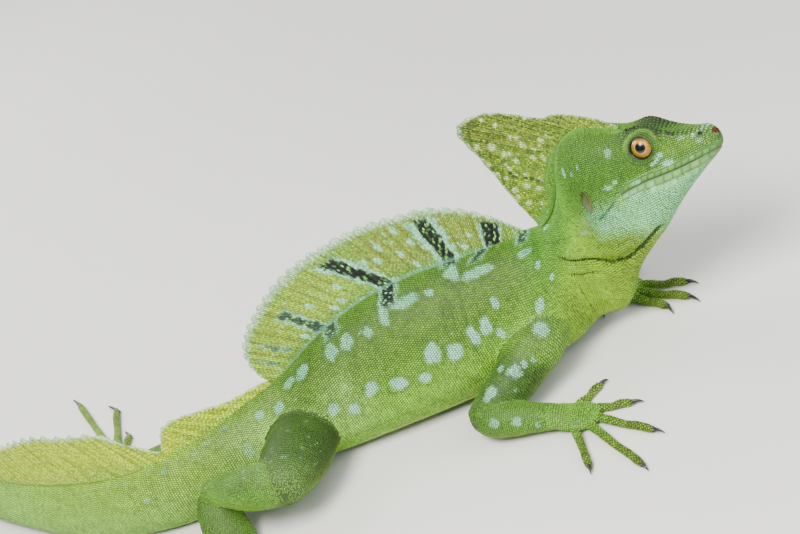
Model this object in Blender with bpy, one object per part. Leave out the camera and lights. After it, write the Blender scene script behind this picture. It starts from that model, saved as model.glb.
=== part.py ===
"""Green basilisk at rest, a still life-size display model.

The animal lies on its belly on a level floor, head raised and turned to its own
right, near arm folded forward, near leg folded at the side, far leg stretched
back and the tail swinging to its left.  Units are metres, +X runs to the head,
+Y to the animal's left and +Z up.
"""
import math

import bmesh
import bpy
import numpy as np

# Driving dimensions
SNOUT_TO_VENT = 0.210      # body length that every station below is drawn for
DORSAL_CREST_SCALE = 1.0   # height of the sail on the back
HEAD_CREST_SCALE = 1.0     # height of the sail on the head
GAP = 0.0003               # clearance between neighbouring pieces
EYE_RADIUS = 0.0052
EYE_PLACE = (26.5, 6.2, 6.3)      # in the head's own frame, millimetres
CREST_ROOT_HALF = 0.0014   # half thickness of the back sail at its root
CREST_EDGE_HALF = 0.00032  # half thickness at its edge
RAY_RELIEF = 0.00035       # height of a ray above the membrane
DORSAL_RAYS = 32
HEAD_RAYS = 17

MM = SNOUT_TO_VENT / 210.0        # one table unit, a millimetre at this size
ORIGIN = (-129.2, 15.3, 0.0)      # middle of the animal's footprint, in table units

# The head's own frame: x to the snout, y left, z up, zero between the ears
HEAD_PLACE = (145.5, 4.5, 63.8)
HEAD_YAW = math.radians(-25.0)
HEAD_PITCH = math.radians(7.5)
HEAD_ROLL = math.radians(21.0)


# Shape functions

def through(knots, values, at):
    """Smooth curve through the values at the knots: on each span a cubic whose end
    slopes are the weighted mean of the slopes of the two spans that meet there."""
    knots = np.asarray(knots, float)
    values = np.asarray(values, float)
    flat = values.ndim == 1
    if flat:
        values = values[:, None]
    at = np.clip(np.asarray(at, float), knots[0], knots[-1])
    step = np.diff(knots)[:, None]
    rise = np.diff(values, axis=0) / step
    slope = np.empty_like(values)
    slope[0], slope[-1] = rise[0], rise[-1]
    slope[1:-1] = (rise[:-1] * step[1:] + rise[1:] * step[:-1]) / (step[1:] + step[:-1])
    i = np.clip(np.searchsorted(knots, at, side="right") - 1, 0, len(step) - 1)
    h = step[i, 0][..., None]
    t = (at - knots[i])[..., None] / h
    out = ((1 + 2 * t) * (1 - t) ** 2 * values[i] + t * (1 - t) ** 2 * h * slope[i]
           + t * t * (3 - 2 * t) * values[i + 1] + t * t * (t - 1) * h * slope[i + 1])
    return out[..., 0] if flat else out


def unit(v):
    """Vectors scaled to length one."""
    return v / np.maximum(np.linalg.norm(v, axis=-1, keepdims=True), 1e-12)


def head_axes():
    """Rows are the head's x, y and z axes: a roll about x, then a pitch, then a yaw."""
    cy, sy = math.cos(HEAD_YAW), math.sin(HEAD_YAW)
    cp, sp = math.cos(HEAD_PITCH), math.sin(HEAD_PITCH)
    cr, sr = math.cos(HEAD_ROLL), math.sin(HEAD_ROLL)
    roll = np.array([[1, 0, 0], [0, cr, sr], [0, -sr, cr]])
    pitch = np.array([[cp, 0, -sp], [0, 1, 0], [sp, 0, cp]])
    yaw = np.array([[cy, -sy, 0], [sy, cy, 0], [0, 0, 1]])
    return (yaw @ pitch @ roll).T


HEAD_AXES = head_axes()


def from_head(p):
    """Head frame to the floor's frame, millimetres."""
    return np.asarray(p, float) @ HEAD_AXES + np.asarray(HEAD_PLACE)


def to_head(p):
    """The floor's frame to the head frame, millimetres."""
    return (np.asarray(p, float) - np.asarray(HEAD_PLACE)) @ HEAD_AXES.T


# Stations of the body, millimetres.  Each row: distance along the animal from the
# vent, crown of the section, foot of the section, half width, height of the widest
# place as a share, and the powers that round the upper and the lower half.
# H marks a point given in the head's own frame as (x, z), F one on the floor's frame.
STATIONS = (
    (-480, ("F", -452, 124, 1.3), ("F", -452, 124, -0.2), 0.6, .45, 2.0, 2.0),
    (-430, ("F", -404, 136, 4.8), ("F", -404, 136, -0.4), 2.2, .45, 2.0, 2.0),
    (-380, ("F", -354, 139, 7.4), ("F", -354, 139, -0.6), 3.1, .45, 2.0, 2.1),
    (-330, ("F", -304, 133, 9.8), ("F", -304, 133, -0.8), 4.0, .45, 1.9, 2.2),
    (-280, ("F", -256, 118, 12.6), ("F", -256, 118, -1), 5.0, .45, 1.9, 2.2),
    (-230, ("F", -213, 93, 16), ("F", -213, 93, -1), 6.1, .45, 1.9, 2.2),
    (-180, ("F", -175, 61, 19.8), ("F", -175, 61, -1), 7.3, .45, 1.9, 2.2),
    (-139, ("F", -144, 34, 22.6), ("F", -144, 34, -1), 8.5, .45, 1.9, 2.2),
    (-98, ("F", -111, 9.5, 25.2), ("F", -111, 9.5, -1), 9.8, .45, 1.9, 2.2),
    (-66, ("F", -80.7, -5.5, 27.6), ("F", -80.7, -5.5, -1), 11, .44, 1.9, 2.2),
    (-43, ("F", -58, -10, 29.8), ("F", -58, -10, -1), 12, .43, 1.9, 2.2),
    (-20, ("F", -35.5, -6.8, 32), ("F", -35.5, -6.8, -1), 13.2, .42, 1.9, 2.2),
    (0, ("F", -16, -1, 34.5), ("F", -16, -1.5, -1), 15, .42, 1.9, 2.3),
    (16, ("F", -1, 2, 37.5), ("F", 0, 0, -1), 17.5, .41, 1.85, 2.4),
    (36, ("F", 19.5, 3.5, 46.8), ("F", 20, 0, -1), 20, .40, 1.8, 2.5),
    (56, ("F", 40, 5, 52.4), ("F", 41, 0, -1), 22, .40, 1.75, 2.5),
    (78, ("F", 61.5, 6.2, 54.2), ("F", 63, 0, -1), 22.5, .40, 1.75, 2.5),
    (98, ("F", 81.5, 6.8, 52.8), ("F", 84, 0, -.6), 21.5, .42, 1.8, 2.4),
    (118, ("F", 100, 7.4, 51.6), ("F", 103, 0, 1.5), 20, .45, 1.85, 2.2),
    (130, ("F", 110, 8.4, 50.5), ("F", 115, -1, 4.5), 17.5, .52, 1.9, 2.0),
    (139, ("H", -31, -12.6), ("F", 122.5, -1, 8.0), 15.8, .58, 2.0, 1.7),
    (147, ("H", -23, -8), ("F", 127.5, -1.2, 8.3), 15, .62, 2.1, 1.45),
    (155, ("H", -16, 2.5), ("F", 131.5, -1.8, 7.9), 14.3, .62, 2.2, 1.3),
    (161, ("H", -12.5, 10.5), ("F", 135.5, -3.5, 10), 14.2, .60, 2.4, 1.3),
    (168, ("H", -7.5, 16.6), ("F", 140.5, -6.5, 17), 14.4, .58, 2.6, 1.35),
    (176, ("H", 0, 18.6), ("H", 3, -38.5), 14.6, .54, 2.8, 1.5),
    (185, ("H", 9, 16.4), ("H", 12.5, -31), 14.2, .50, 3.0, 1.7),
    (194, ("H", 18, 12.8), ("H", 19.5, -26.4), 12.6, .52, 3.2, 1.8),
    (203, ("H", 27, 10.6), ("H", 27.5, -19.6), 10.8, .50, 3.4, 1.9),
    (212, ("H", 36, 8.4), ("H", 36, -13.4), 8.9, .46, 2.8, 2.0),
    (221, ("H", 45, 7.0), ("H", 44.8, -7.8), 6.9, .42, 2.4, 2.1),
    (226, ("H", 50, 6.0), ("H", 49.6, -4.8), 5.0, .42, 2.2, 2.1),
    (229, ("H", 52.6, 3.4), ("H", 52.0, -2.9), 2.7, .45, 2.0, 2.0),
    (230.2, ("H", 53.3, 1.3), ("H", 53.0, -1.4), 1.2, .5, 2.0, 2.0),
)


def place_of(p):
    """A station's point in the floor's frame."""
    if p[0] == "H":
        return from_head((p[1], 0.0, p[2]))
    return np.array(p[1:], float)


STATION_AT = np.array([row[0] for row in STATIONS], float)
STATION_VALUES = np.array([[*place_of(row[1]), *place_of(row[2]), *row[3:]]
                           for row in STATIONS])


# Share of the turn from straight ahead to the head's own direction
NECK_TURN = ((118, 0.0), (130, 0.06), (139, 0.2), (147, 0.4), (155, 0.62), (161, 0.78),
             (168, 0.92), (176, 1.0))


def body_frame(s):
    """Crown, foot, half width, widest share, the two powers and the left-hand
    direction of the sections at distances s along the animal, millimetres."""
    s = np.asarray(s, float)
    f = through(STATION_AT, STATION_VALUES, s)
    track = (through(STATION_AT, STATION_VALUES, s + 1)[..., 3:6]
             - through(STATION_AT, STATION_VALUES, s - 1)[..., 3:6])
    track[..., 2] = 0
    turn = np.array(NECK_TURN)
    share = through(turn[:, 0], turn[:, 1], s)[..., None]
    ahead = (1 - share) * np.array([1.0, 0, 0]) + share * HEAD_AXES[0]
    ahead = np.where(s[..., None] < 100, unit(track), ahead)
    left = unit(np.cross(f[..., 0:3] - f[..., 3:6], ahead))
    return f, left


def body_rings(s, v, grow=0.0, detail=True):
    """Points of the body at distances s and angles v (zero at the crown, turning to
    the left), millimetres.  Each section is two half super-ellipses that share a
    widest line; grow moves the surface outward."""
    s = np.asarray(s, float)
    f, left = body_frame(s)
    crown, foot = f[:, None, 0:3], f[:, None, 3:6]
    up = unit(crown - foot)
    crown = crown + up * grow
    foot = foot - up * grow
    half = f[:, 6, None, None] + grow
    share, power_up, power_low = f[:, 7, None, None], f[:, 8, None], f[:, 9, None]
    c, q = np.cos(v)[None, :], np.sin(v)[None, :]
    power = np.where(c > 0, power_up, power_low)
    across = (np.sign(q) * np.abs(q) ** (2 / power))[..., None]
    along = (np.abs(c) ** (2 / power))[..., None]
    mid = foot + (crown - foot) * share
    p = mid + across * half * left[:, None, :] + along * np.where(c[..., None] > 0,
                                                                  crown - mid, foot - mid)
    if detail:
        p = p + head_relief(p, s[:, None])
    p[..., 2] = np.maximum(p[..., 2], -grow)
    return p


def bump(x, z, x0, z0, rx, rz, turn=0.0):
    """A soft hill, one at its centre and falling off as exp(-r^2) over rx and rz."""
    c, q = math.cos(turn), math.sin(turn)
    a = ((x - x0) * c + (z - z0) * q) / rx
    b = (-(x - x0) * q + (z - z0) * c) / rz
    return np.exp(-(a * a + b * b))


def rise(x, x0, width):
    """Soft step from zero to one around x0."""
    return 0.5 + 0.5 * np.tanh((x - x0) / width)


def head_relief(p, s):
    """Hills and hollows of the head and throat as offsets in the floor's frame:
    brow ridges, canthus, eye hollow, temple and cheek muscle, ear dish, throat fold."""
    h = to_head(p)
    x, y, z = h[..., 0], h[..., 1], h[..., 2]
    a = np.abs(y)
    side = np.tanh(y / 2.0)
    live = rise(s, 152.0, 5.0)
    above = rise(z, 2.0, 2.5)
    brow = bump(x, a, 26.5, 8.2, 9.5, 4.4)
    canthus = bump(x, a, 38.0, 5.6, 8.0, 2.0)
    temple = bump(x, a, -1.0, 9.5, 10.0, 4.5)
    lateral = (1.2 * bump(x, z, 25.5, 12.0, 8.0, 2.6)
               - 1.6 * bump(x, z, 26.8, 5.8, 6.0, 4.6)
               - 0.8 * bump(x, z, 39.0, 2.2, 6.0, 2.6)
               + 1.0 * bump(x, z, 4.0, 6.0, 9.0, 8.0)
               + 1.6 * bump(x, z, 4.0, -15.0, 9.0, 8.0)
               - 1.0 * bump(x, z, 0.0, -7.0, 2.4, 5.0, 0.1)
               + 0.6 * bump(x, z, 46.5, 3.5, 3.5, 3.0)
               - 1.5 * fold_hollow(x, z))
    out = np.stack([np.zeros_like(x), side * lateral,
                    above * (4.6 * brow + 0.9 * canthus + 1.0 * temple)], -1)
    return (out * live[..., None]) @ HEAD_AXES


def fold_hollow(x, z):
    """Depth, zero to one, of the fold across the throat: near the arc that runs from
    behind the jaw under the cheek and up to the front of the throat."""
    line = -24.0 - 7.5 * np.cos((x + 2.0) / 15.0)
    ends = 0.5 - 0.5 * np.tanh((np.abs(x + 4.0) - 20.0) / 4.0)
    return np.exp(-((z - line) / 1.7) ** 2) * ends


def spine(s):
    """Crown line of the body and its upward direction, millimetres."""
    f, left = body_frame(s)
    return f[..., 0:3], unit(f[..., 0:3] - f[..., 3:6])


# Sails: distance along the animal, length of the ray, its backward lean in degrees
BACK_SAIL = (
    (130, 0.8, -14), (127, 3.0, -14), (124, 5.5, -14), (120, 8.6, -14), (116, 11.7, -13),
    (110, 16.5, -7), (104, 21.0, 0), (98, 24.2, 7), (92, 25.6, 13), (86, 27.2, 17),
    (80, 28.2, 21), (72, 29.0, 27), (64, 29.8, 33), (56, 29.8, 38), (48, 28.7, 43),
    (40, 26.5, 48), (32, 23.6, 51), (24, 18.5, 54), (20, 13.5, 55), (16, 6.9, 56),
    (14, 3.0, 57),
)
TAIL_SAIL = (
    (12, 2.2, 50), (8, 3.6, 49), (0, 4.9, 45), (-5, 7.1, 42), (-10, 10.6, 39),
    (-15, 13.1, 36), (-20, 13.9, 32), (-25, 13.9, 28), (-30, 12.3, 24), (-35, 7.7, 20),
    (-39, 3.4, 15), (-42, 4.0, 11), (-45, 7.5, 9), (-50, 12.6, 7), (-54, 16.6, 6),
    (-60, 21.6, 4), (-66, 23.2, 3), (-72, 24.0, 3), (-80, 24.9, 3), (-88, 26.0, 3),
    (-96, 25.6, 3), (-104, 24.0, 4), (-112, 21.8, 5), (-120, 19.4, 6), (-130, 17.2, 8),
    (-150, 13.6, 12), (-175, 9.8, 18), (-205, 6.2, 24), (-240, 3.0, 30), (-262, 1.0, 34),
)
# Lengths of the tail's sail: name, start, end, rays
TAIL_CRESTS = (
    ("tail_crest_front", 12, -41, 12), ("tail_crest_middle", -41.35, -125, 15),
    ("tail_crest_rear", -125.35, -262, 16),
)
# Sail of the head: distance of the root along the animal, free edge in the head's
# own frame (x, z), from the brow backward and down to the nape
HEAD_SAIL = (
    (191.4, 15.5, 14.4), (188.5, 10.3, 18.2), (184.5, 3, 21.9), (181, -4, 24.8),
    (178, -9.5, 26.4), (176, -13.6, 26.0), (174, -20, 28.3), (172, -27, 31.5),
    (170, -34, 34.0), (168, -41, 35.0), (166, -47.5, 34.6), (163.5, -51.6, 31.4),
    (161, -50.4, 26.5), (157.5, -46.6, 19.5), (153, -42.6, 10.5), (148, -38.6, 0.5),
    (143.5, -35.2, -6.5), (139.5, -32.6, -10.6),
)


def sail_points(table, s, w, tooth=0.0, scale=1.0):
    """Middle surface of a sail at distances s and shares w of the ray's length:
    crown line, plus the ray leaning back from the upward direction."""
    t = np.array(table, float)
    t = t[np.argsort(t[:, 0])]
    length = through(t[:, 0], t[:, 1], s) * scale * (1 + tooth)
    lean = np.radians(through(t[:, 0], t[:, 2], s))
    crown, up = spine(s)
    ahead = spine(s + 0.5)[0] - spine(s - 0.5)[0]
    ahead = unit(ahead - np.sum(ahead * up, -1, keepdims=True) * up)
    ray = np.cos(lean)[:, None] * up - np.sin(lean)[:, None] * ahead
    left = np.cross(up, ahead)
    p = crown[:, None] + (GAP * 1000) * up[:, None] + (length[:, None] * w)[..., None] * ray[:, None]
    return p, left, length


def head_sail_points(t, w, tooth=0.0, scale=1.0):
    """Middle surface of the head's sail at steps t along its table and shares w from
    the root to the edge; it stands in the head's plane of symmetry."""
    table = np.array(HEAD_SAIL, float)
    row = through(np.arange(len(table)), table, t)
    crown = to_head(spine(row[:, 0])[0])
    ahead = unit(to_head(spine(row[:, 0] + 0.4)[0]) - to_head(spine(row[:, 0] - 0.4)[0]))
    lift = np.stack([-ahead[:, 2], np.zeros(len(t)), ahead[:, 0]], -1)
    root = crown + GAP * 1500 * lift
    root[:, 1] = 0
    edge = np.stack([row[:, 1], np.zeros(len(t)), row[:, 2]], -1)
    ray = (edge - root) * scale * (1 + np.asarray(tooth)[..., None])
    p = root[:, None] + w[..., None] * ray[:, None]
    left = np.broadcast_to(HEAD_AXES[1], (len(t), 3))
    return from_head(p), left, np.linalg.norm(ray, axis=1)


# Limbs: each chain holds rows of (x, y, z, half width, half height), millimetres
LIMBS = {
    "right_upper_arm": (
        (107, -4, 22, 9.0, 10.0), (101, -14, 18.6, 9.8, 10.2), (92, -22.6, 15.6, 9.6, 9.6),
        (83.5, -29.2, 12.6, 8.9, 8.7), (76.5, -33.8, 10.3, 8.1, 7.8), (71.6, -36.8, 9.2, 6.6, 6.7),
        (68.4, -38.6, 8.7, 4.2, 4.6), (67.2, -39.2, 8.6, 1.4, 1.6)),
    "right_forearm": (
        (70.2, -37.3, 9.0, 5.0, 5.7), (74.6, -38.7, 8.7, 6.7, 6.7), (80.2, -40.5, 8.0, 7.2, 6.7),
        (86.8, -42.6, 7.0, 6.6, 6.0), (92.4, -44.6, 6.1, 5.8, 5.1), (98, -46.5, 5.4, 5.4, 4.6)),
    "left_upper_arm": (
        (106, 8, 22, 9.0, 10.0), (106, 20, 19.4, 9.6, 10.0), (105.5, 31, 16.6, 9.1, 9.2),
        (105, 39.5, 14.0, 8.4, 8.2), (104.6, 46, 12, 7.6, 7.5), (104.4, 50.5, 10.4, 6.0, 6.2),
        (104.4, 53.2, 9.6, 3.6, 3.9), (104.4, 54, 9.4, 1.2, 1.4)),
    "left_forearm": (
        (104, 48.8, 10.5, 5.2, 6.0), (107.5, 45.8, 9.6, 6.8, 6.8), (112.5, 41, 8.4, 7.2, 6.6),
        (118, 35.4, 7.0, 6.6, 5.8), (123, 30, 6.0, 5.7, 5.0), (127.5, 25, 5.4, 5.3, 4.6)),
    "right_thigh": (
        (1, -3, 16, 14.0, 11.0), (0, -13, 17, 14.8, 11.8), (-2, -24, 18.4, 14.6, 12.0),
        (-4, -33, 19.8, 13.6, 11.4), (-5.6, -39.5, 20.6, 11.8, 10.4), (-6.6, -45, 20.6, 9.2, 8.8),
        (-7.2, -49.5, 20.2, 5.4, 5.6), (-7.4, -51.2, 20, 1.8, 2.0)),
    "right_shin": (
        (-5, -44, 20.6, 6.2, 6.4), (-10, -42.4, 20.9, 8.4, 8.4), (-17.5, -39.8, 20.8, 9.0, 8.8),
        (-25, -36.4, 20.2, 8.2, 8.2), (-31.5, -32.8, 19.4, 6.6, 6.8), (-37.5, -29.2, 18.4, 5.4, 5.6),
        (-42, -26.4, 17, 4.6, 4.8)),
    "left_thigh": (
        (-3, 3, 15, 12.5, 11.5), (-9, 10, 14.6, 12.0, 11.0), (-18, 14.2, 13.6, 11.0, 10.4),
        (-28, 16.6, 12.2, 9.8, 9.6), (-37, 18.0, 11, 8.8, 8.6), (-44, 19, 10.2, 7.6, 7.4),
        (-49.6, 20, 9.6, 4.8, 5.0), (-51.4, 20.4, 9.4, 1.8, 2.0)),
    "left_shin": (
        (-44.5, 19.4, 9.8, 5.2, 5.4), (-50.5, 20.2, 9.0, 6.8, 6.6), (-58.5, 21.8, 8.2, 7.2, 6.8),
        (-68, 24.0, 7.4, 6.4, 6.0), (-78, 26.4, 6.8, 5.2, 5.0), (-87, 28.8, 6.2, 4.5, 4.4),
        (-93.5, 31.0, 5.8, 4.1, 4.1)),
}
# Hands and feet: chain of the palm, then digits as (base x, y), (tip x, y), (claw x, y)
HANDS = {
    "right_hand": (
        ((94, -45.4, 5.8, 4.4, 4.0), (98.5, -46.7, 5.2, 5.6, 4.2), (103.5, -48, 3.5, 6.6, 3.5),
         (108.5, -49.4, 2.7, 7.0, 2.8), (112.3, -50.4, 2.1, 5.4, 2.1), (114, -50.9, 1.7, 2.4, 1.4)),
        (((104.5, -43.5), (116.4, -33.1), (119.4, -31.2)),
         ((109.5, -46.2), (126.6, -50.4), (130.8, -51.7)),
         ((110.5, -50.5), (132.0, -69.9), (135.3, -72.9)),
         ((108.6, -53.6), (125.2, -85.8), (126.5, -89.2)),
         ((103.6, -53.4), (106.3, -76.7), (106.1, -79.9)))),
    "left_hand": (
        ((125.6, 27.3, 5.8, 4.4, 4.0), (128.6, 23.8, 5.2, 5.5, 4.2), (132, 19.8, 3.5, 6.5, 3.5),
         (135.4, 15.8, 2.7, 7.0, 2.8), (138, 12.8, 2.1, 5.4, 2.1), (139.2, 11.4, 1.7, 2.4, 1.4)),
        (((129, 19.6), (123.8, 10.5), (122.8, 7.4)),
         ((134, 12.8), (148.2, -2.4), (149.6, -7.6)),
         ((136.8, 13.6), (157.4, -1.6), (160.6, -6.4)),
         ((138.4, 16.6), (158.0, 8.2), (162.0, 5.4)),
         ((133.4, 20.6), (138.6, 34.0), (139.6, 37.2)))),
    "right_foot": (
        ((-39, -26.2, 18, 4.2, 4.4), (-41, -28.6, 15.4, 6.6, 5.0), (-40, -34.5, 11.2, 8.6, 4.6),
         (-37.4, -43, 6.4, 9.4, 3.9), (-34.8, -51.5, 3.2, 9.0, 3.1), (-33.2, -57.5, 2.3, 6.8, 2.2),
         (-32.6, -59.9, 1.8, 3.0, 1.5)),
        (((-32.4, -49.0), (-14.4, -60.0), (-11.0, -60.8)),
         ((-29.8, -54.0), (-7.4, -74.0), (-4.0, -76.0)),
         ((-31.0, -57.0), (-8.6, -92.0), (-6.4, -96.0)),
         ((-34.6, -57.4), (-22.4, -106.5), (-21.6, -111.5)),
         ((-40.8, -48.0), (-50.5, -78.0), (-52.4, -81.8)))),
    "left_foot": (
        ((-90.6, 30.2, 6.0, 3.6, 3.8), (-94.0, 32.6, 5.6, 4.6, 3.9), (-97.0, 37.4, 4.8, 5.0, 3.4),
         (-99.8, 43.0, 3.6, 5.4, 3.0), (-102.4, 48.6, 2.6, 5.6, 2.5), (-104.2, 53.0, 2.1, 4.2, 2.0),
         (-105.0, 54.8, 1.7, 2.0, 1.3)),
        (((-97.0, 42.0), (-95.4, 60.0), (-98.6, 65.4)),
         ((-99.4, 48.0), (-104.6, 84.0), (-110.2, 91.0)),
         ((-102.4, 51.0), (-126.0, 101.0), (-131.0, 108.6)),
         ((-105.0, 50.0), (-148.0, 85.0), (-155.6, 90.8)),
         ((-103.8, 42.0), (-129.0, 54.6), (-135.0, 57.0)))),
}
DIGIT_RADIUS = {"right_hand": 1.55, "left_hand": 1.7, "right_foot": 1.75, "left_foot": 1.5}


def tube_rings(rows, points, count=None, grow=0.0, phase=0.0):
    """Rings of a tube through the rows (x, y, z, half width, half height), a smooth
    curve by chord length; width lies level, height stands square to it."""
    rows = np.asarray(rows, float)
    run = np.concatenate([[0], np.cumsum(np.linalg.norm(np.diff(rows[:, :3], axis=0), axis=1))])
    at = run if count is None else np.linspace(0, run[-1], count)
    f = through(run, rows, at)
    step = run[-1] * 0.002
    ahead = unit(through(run, rows[:, :3], at + step) - through(run, rows[:, :3], at - step))
    level = unit(np.cross(np.array([0, 0, 1.0]), ahead))
    upward = np.cross(ahead, level)
    v = np.arange(points) * 2 * np.pi / points + phase
    f[0, 0:3] -= grow * ahead[0]
    f[-1, 0:3] += grow * ahead[-1]
    return (f[:, None, 0:3] + np.cos(v)[None, :, None] * (f[:, None, 4:5] + grow) * upward[:, None]
            + np.sin(v)[None, :, None] * (f[:, None, 3:4] + grow) * level[:, None])


def digit_rows(root, tip, claw, radius):
    """Rows of one digit with its claw: root in the palm, two low arches over the
    joints, a blunt tip on the floor and the curved claw beyond it."""
    root, tip, claw = (np.array(q, float) for q in (root, tip, claw))
    height = (1.75, 1.6, 0.85, 1.3, 0.74)
    share = (0.0, 0.28, 0.55, 0.78, 0.96)
    size = (1.18, 1.04, 0.92, 0.96, 0.86)
    rows = [(*(root + (tip - root) * a), radius * h, radius * r, radius * r)
            for a, h, r in zip(share, height, size)]
    along = claw - tip
    rows.append((*tip, 1.3, radius * 0.62, radius * 0.66))
    rows.append((*(tip + along * 0.14), 1.6, radius * 0.47, radius * 0.62))
    rows.append((*(tip + along * 0.55), 1.5, radius * 0.32, radius * 0.44))
    rows.append((*claw, 0.45, radius * 0.09, radius * 0.12))
    return rows


# Building the meshes

def clear_scene():
    for obj in list(bpy.data.objects):
        bpy.data.objects.remove(obj, do_unlink=True)


def new_material(name, colour, roughness):
    mat = bpy.data.materials.new(name)
    mat.use_nodes = True
    shader = mat.node_tree.nodes["Principled BSDF"]
    shader.inputs["Base Color"].default_value = (*colour, 1)
    shader.inputs["Roughness"].default_value = roughness
    mat.diffuse_color = (*colour, 1)
    return mat


def square_up(bm):
    """Outward faces on a closed surface."""
    bmesh.ops.recalc_face_normals(bm, faces=bm.faces)


def placed(p):
    """Table units in the floor's frame to metres in the model's frame."""
    return (np.asarray(p, float) - np.asarray(ORIGIN)) * MM


def link_mesh(name, bm, material):
    """Turn a bmesh into a linked object with outward faces."""
    square_up(bm)
    mesh = bpy.data.meshes.new(name)
    bm.to_mesh(mesh)
    bm.free()
    obj = bpy.data.objects.new(name, mesh)
    bpy.context.scene.collection.objects.link(obj)
    if material:
        mesh.materials.append(material)
    return obj


def make_object(name, verts, faces, material):
    """Object from points in the floor's frame, millimetres, and faces."""
    mesh = bpy.data.meshes.new(name)
    mesh.from_pydata([tuple(q) for q in placed(verts)], [], faces)
    bm = bmesh.new()
    bm.from_mesh(mesh)
    bpy.data.meshes.remove(mesh)
    return link_mesh(name, bm, material)


def head_primitive(name, bm, centre, material=None):
    """Move a primitive drawn in millimetres around zero to a place on the head."""
    for vert in bm.verts:
        vert.co = placed(from_head(np.array(vert.co) + np.asarray(centre)))
    return link_mesh(name, bm, material)


def ellipsoid(name, centre, radii, segments, rings, material=None, turn=0.0):
    """Ellipsoid on the head with its axis across the head, turned about that axis."""
    bm = bmesh.new()
    bmesh.ops.create_uvsphere(bm, u_segments=segments, v_segments=rings, radius=1.0)
    c, q = math.cos(turn), math.sin(turn)
    for vert in bm.verts:
        x, y, z = vert.co
        x, y, z = x * radii[0], z * radii[1], -y * radii[2]
        vert.co = (x * c - z * q, y, x * q + z * c)
    return head_primitive(name, bm, centre, material)


def lid_ring(name, centre, across, upright, thick, lean):
    """Elliptical ring of the eyelids on the side of the head, its top leaning in."""
    bpy.ops.mesh.primitive_torus_add(major_radius=1.0, minor_radius=0.2,
                                     major_segments=20, minor_segments=6)
    ring = bpy.context.object
    bm = bmesh.new()
    bm.from_mesh(ring.data)
    bpy.data.objects.remove(ring, do_unlink=True)
    for vert in bm.verts:
        x, y, z = vert.co
        run = math.hypot(x, y)
        out = (run - 1.0) / 0.2 * thick
        rise_by = y / run * (upright + out)
        vert.co = (x / run * (across + out), z / 0.2 * thick - lean * rise_by, rise_by)
    return head_primitive(name, bm, centre)


def head_prism(name, outline, half, shift=(0.0, 0.0)):
    """Outline in the head's plane of symmetry (x, z), drawn out to both sides."""
    bm = bmesh.new()
    loop = [bm.verts.new((x + shift[0], -half, z + shift[1])) for x, z in outline]
    face = bm.faces.new(loop)
    made = bmesh.ops.extrude_face_region(bm, geom=[face])
    for item in made["geom"]:
        if isinstance(item, bmesh.types.BMVert):
            item.co.y = half
    return head_primitive(name, bm, (0, 0, 0))


def ring_faces(count, points, split=None):
    """Faces of a closed tube of rings, ends filled.  With split, each side face is
    parted into two triangles whose shared edge runs the way split(i, j) says."""
    faces = []
    for i in range(count - 1):
        for j in range(points):
            k = (j + 1) % points
            a, b = i * points + j, i * points + k
            c, d = (i + 1) * points + k, (i + 1) * points + j
            if split is None:
                faces.append((a, b, c, d))
            elif split(i, j):
                faces += [(a, b, c), (a, c, d)]
            else:
                faces += [(a, b, d), (b, c, d)]
    faces.append(tuple(range(points)))
    faces.append(tuple((count - 1) * points + j for j in range(points)))
    return faces


def ring_object(name, rings, material, split=None):
    """Closed tube through the rings."""
    rings = np.asarray(rings, float)
    return make_object(name, rings.reshape(-1, 3),
                       ring_faces(len(rings), rings.shape[1], split), material)


def is_closed(mesh):
    bm = bmesh.new()
    bm.from_mesh(mesh)
    good = bool(bm.faces) and all(len(e.link_faces) == 2 for e in bm.edges)
    bm.free()
    return good


def tidy(mesh):
    """Merge points that fall together, drop faces without area and keep the largest
    closed surface, facing outwards."""
    bm = bmesh.new()
    bm.from_mesh(mesh)
    bmesh.ops.remove_doubles(bm, verts=bm.verts, dist=1e-6)
    bmesh.ops.dissolve_degenerate(bm, edges=bm.edges, dist=1e-6)
    seen = set()
    shells = []
    for face in bm.faces:
        if face in seen:
            continue
        seen.add(face)
        shell, todo = [], [face]
        while todo:
            one = todo.pop()
            shell.append(one)
            for edge in one.edges:
                for other in edge.link_faces:
                    if other not in seen:
                        seen.add(other)
                        todo.append(other)
        shells.append(shell)
    shells.sort(key=lambda faces: sum(f.calc_area() for f in faces))
    for shell in shells[:-1]:
        bmesh.ops.delete(bm, geom=shell, context="FACES")
    loose = [v for v in bm.verts if not v.link_faces]
    bmesh.ops.delete(bm, geom=loose, context="VERTS")
    square_up(bm)
    bm.to_mesh(mesh)
    bm.free()


def combine(obj, others, operation):
    """Boolean of obj with the other objects, applied; the others are removed."""
    group = bpy.data.collections.new("cutters")
    bpy.context.scene.collection.children.link(group)
    for other in others:
        for holder in list(other.users_collection):
            holder.objects.unlink(other)
        group.objects.link(other)
        other.hide_render = True
        other.display_type = "WIRE"
    result = None
    for solver in ("EXACT", "MANIFOLD"):
        mod = obj.modifiers.new("combine", "BOOLEAN")
        mod.operation = operation
        mod.operand_type = "COLLECTION"
        mod.collection = group
        mod.solver = solver
        deps = bpy.context.evaluated_depsgraph_get()
        result = bpy.data.meshes.new_from_object(obj.evaluated_get(deps))
        obj.modifiers.clear()
        if is_closed(result):
            break
    old = obj.data
    result.name = obj.name
    obj.data = result
    bpy.data.meshes.remove(old)
    for other in others:
        bpy.data.objects.remove(other, do_unlink=True)
    bpy.data.collections.remove(group)
    tidy(obj.data)
    return obj


def body_piece(name, start, end, count, points, material, grow=0.0):
    """Length of the body between two distances along the animal."""
    s = np.linspace(start, end, count)
    v = np.arange(points) * 2 * np.pi / points
    return ring_object(name, body_rings(s, v, grow), material)


def floor_slab():
    """Everything below the floor, as a cutter."""
    bm = bmesh.new()
    bmesh.ops.create_cube(bm, size=1.0)
    for vert in bm.verts:
        x, y, z = vert.co
        vert.co = (x * 1.2, y * 0.8, (z - 0.5) * 0.08)
    return link_mesh("floor_slab", bm, None)


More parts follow.
